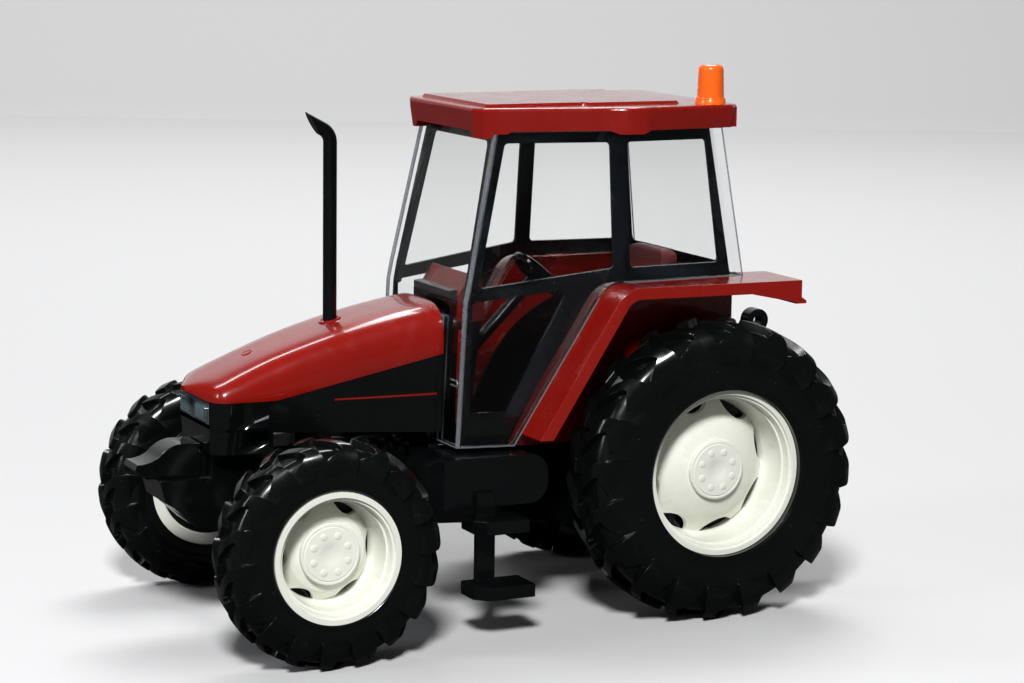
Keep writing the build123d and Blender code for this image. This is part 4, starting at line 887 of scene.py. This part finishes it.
def panel_stripe(side):
    """The thin red stripe along one black side panel."""
    start, end, proud = 44.4, 62.3, 0.03

    def panel(x):
        """Half the width between the side panels, which draw in towards the nose."""
        return 10.6 - 1.6 * (x - 43.3) / 37.6

    corners = [(end, 38.65), (start, 38.55), (start, 38.9), (end, 38.9)]
    places = [(axle + x, side * (panel(x) + proud), z) for x, z in corners]
    stripe = slab("stripe_" + side_name(side), places, (0, -side * 0.3, 0), 0.02)
    fitted(stripe, body_of_node["bonnet_side_panels"], "body_red")


def cowl_details(side):
    """The moulded grip, in the pale painted-highlight material of the glazing's edges, and the red upright
    inside one side of the clear front panel.
    """
    low, high, inner, outer = 40.7, 41.6, 13.5, 16.0
    line = [(inner, low), (outer, low), (outer + 0.2, (low + high) / 2), (outer, high), (inner, high)]
    # The grip's pale colour is painted highlight.
    grip = bent_rod("panel_grip_" + side_name(side), [(axle + 43.2, side * y, z) for y, z in line], 0.13)
    fitted(grip, body_of_node["cab_glass"], "clear_plastic", materials["glazing_edge_highlight"])
    foot, top = 33.8, 49.6
    corners = [(41.7, 12.7, foot), (41.7, 13.7, foot), (41.3, 13.7, top), (41.3, 12.5, top)]
    places = [(axle + x, side * y, z) for x, y, z in corners]
    upright = slab("cowl_upright_" + side_name(side), places, (-0.5, 0, 0), 0.12)
    fitted(upright, body_of_node["seat_pedestal"], "body_red")


def lamp_lens(side):
    """The dark lens of one headlamp, with upright ribs."""
    low, high = box_mm("headlamps")
    lamp_y, half_width, ribs, rib_gap, rib_half = side * 3.6, 2.2, 7, 0.55, 0.11
    pieces = [block(
        "lamp_lens_" + side_name(side), (high.x - 0.5, lamp_y - half_width, low.z + 0.35),
        (high.x + 0.05, lamp_y + half_width, high.z - 0.35), 0.25,
    )]
    for k in range(ribs):
        y = lamp_y - 1.65 + rib_gap * k
        pieces.append(block(
            "lamp_rib", (high.x, y - rib_half, low.z + 0.6), (high.x + 0.22, y + rib_half, high.z - 0.6), 0.1
        ))
    fitted(joined(pieces), body_of_node["headlamps"], "lamp_silver", materials["lamp_lens"])


def manifold(side):
    """The glossy casting along one side of the engine, just under the side panel: bulges joined by a pipe."""
    bulges, bolts, gap, out = 4, 3, 2.9, side * 0.5
    y = side * (box_mm("engine")[1].y + 0.1)
    pieces = [bent_rod("manifold_" + side_name(side), [
        (axle + 45.4, y, 31.2), (axle + 48.0, y + out, 31.9), (axle + 57.0, y + out, 32.2),
        (axle + 59.0, y, 31.4), (axle + 59.6, y - out, 29.6),
    ], 0.62)]
    for k in range(bulges):
        bulge = turned("manifold_bulge", [(0.95, -0.9), (1.0, 0.1), (0.9, 0.5), (0.6, 0.8), (0.2, 0.9)], 20)
        set_at(bulge, ((axle + 47.6 + gap * k) * MM, y * MM, (31.6 - 0.1 * (k % 2)) * MM), (0, side, 0.25))
        pieces.append(bulge)
    for k in range(bolts):
        bolt = turned("manifold_bolt", [(0.42, -0.3), (0.42, 0.8), (0.34, 0.92), (0.05, 0.94)], 6)
        set_at(bolt, ((axle + 49.0 + gap * k) * MM, (y + side * 0.3) * MM, 30.3 * MM), (0, side, 0))
        pieces.append(bolt)
    fitted(joined(pieces), body_of_node["engine"], "body_black")


for side in (1, -1):
    door_foot(side)
    panel_stripe(side)
    cowl_details(side)
    lamp_lens(side)
for side in (1, -1):
    manifold(side)

collar = turned("beacon_collar", [(2.62, -0.1), (2.62, 0.55), (2.5, 0.75), (2.3, 0.8)], 56)
beacon = middle("beacon")
set_at(collar, (beacon.x, beacon.y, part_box("beacon")[0].z))
fitted(collar, body_of_node["beacon"], "beacon_orange")

add_camera()
add_floor()
add_lights()
bpy.context.scene.view_settings.view_transform = "Standard"
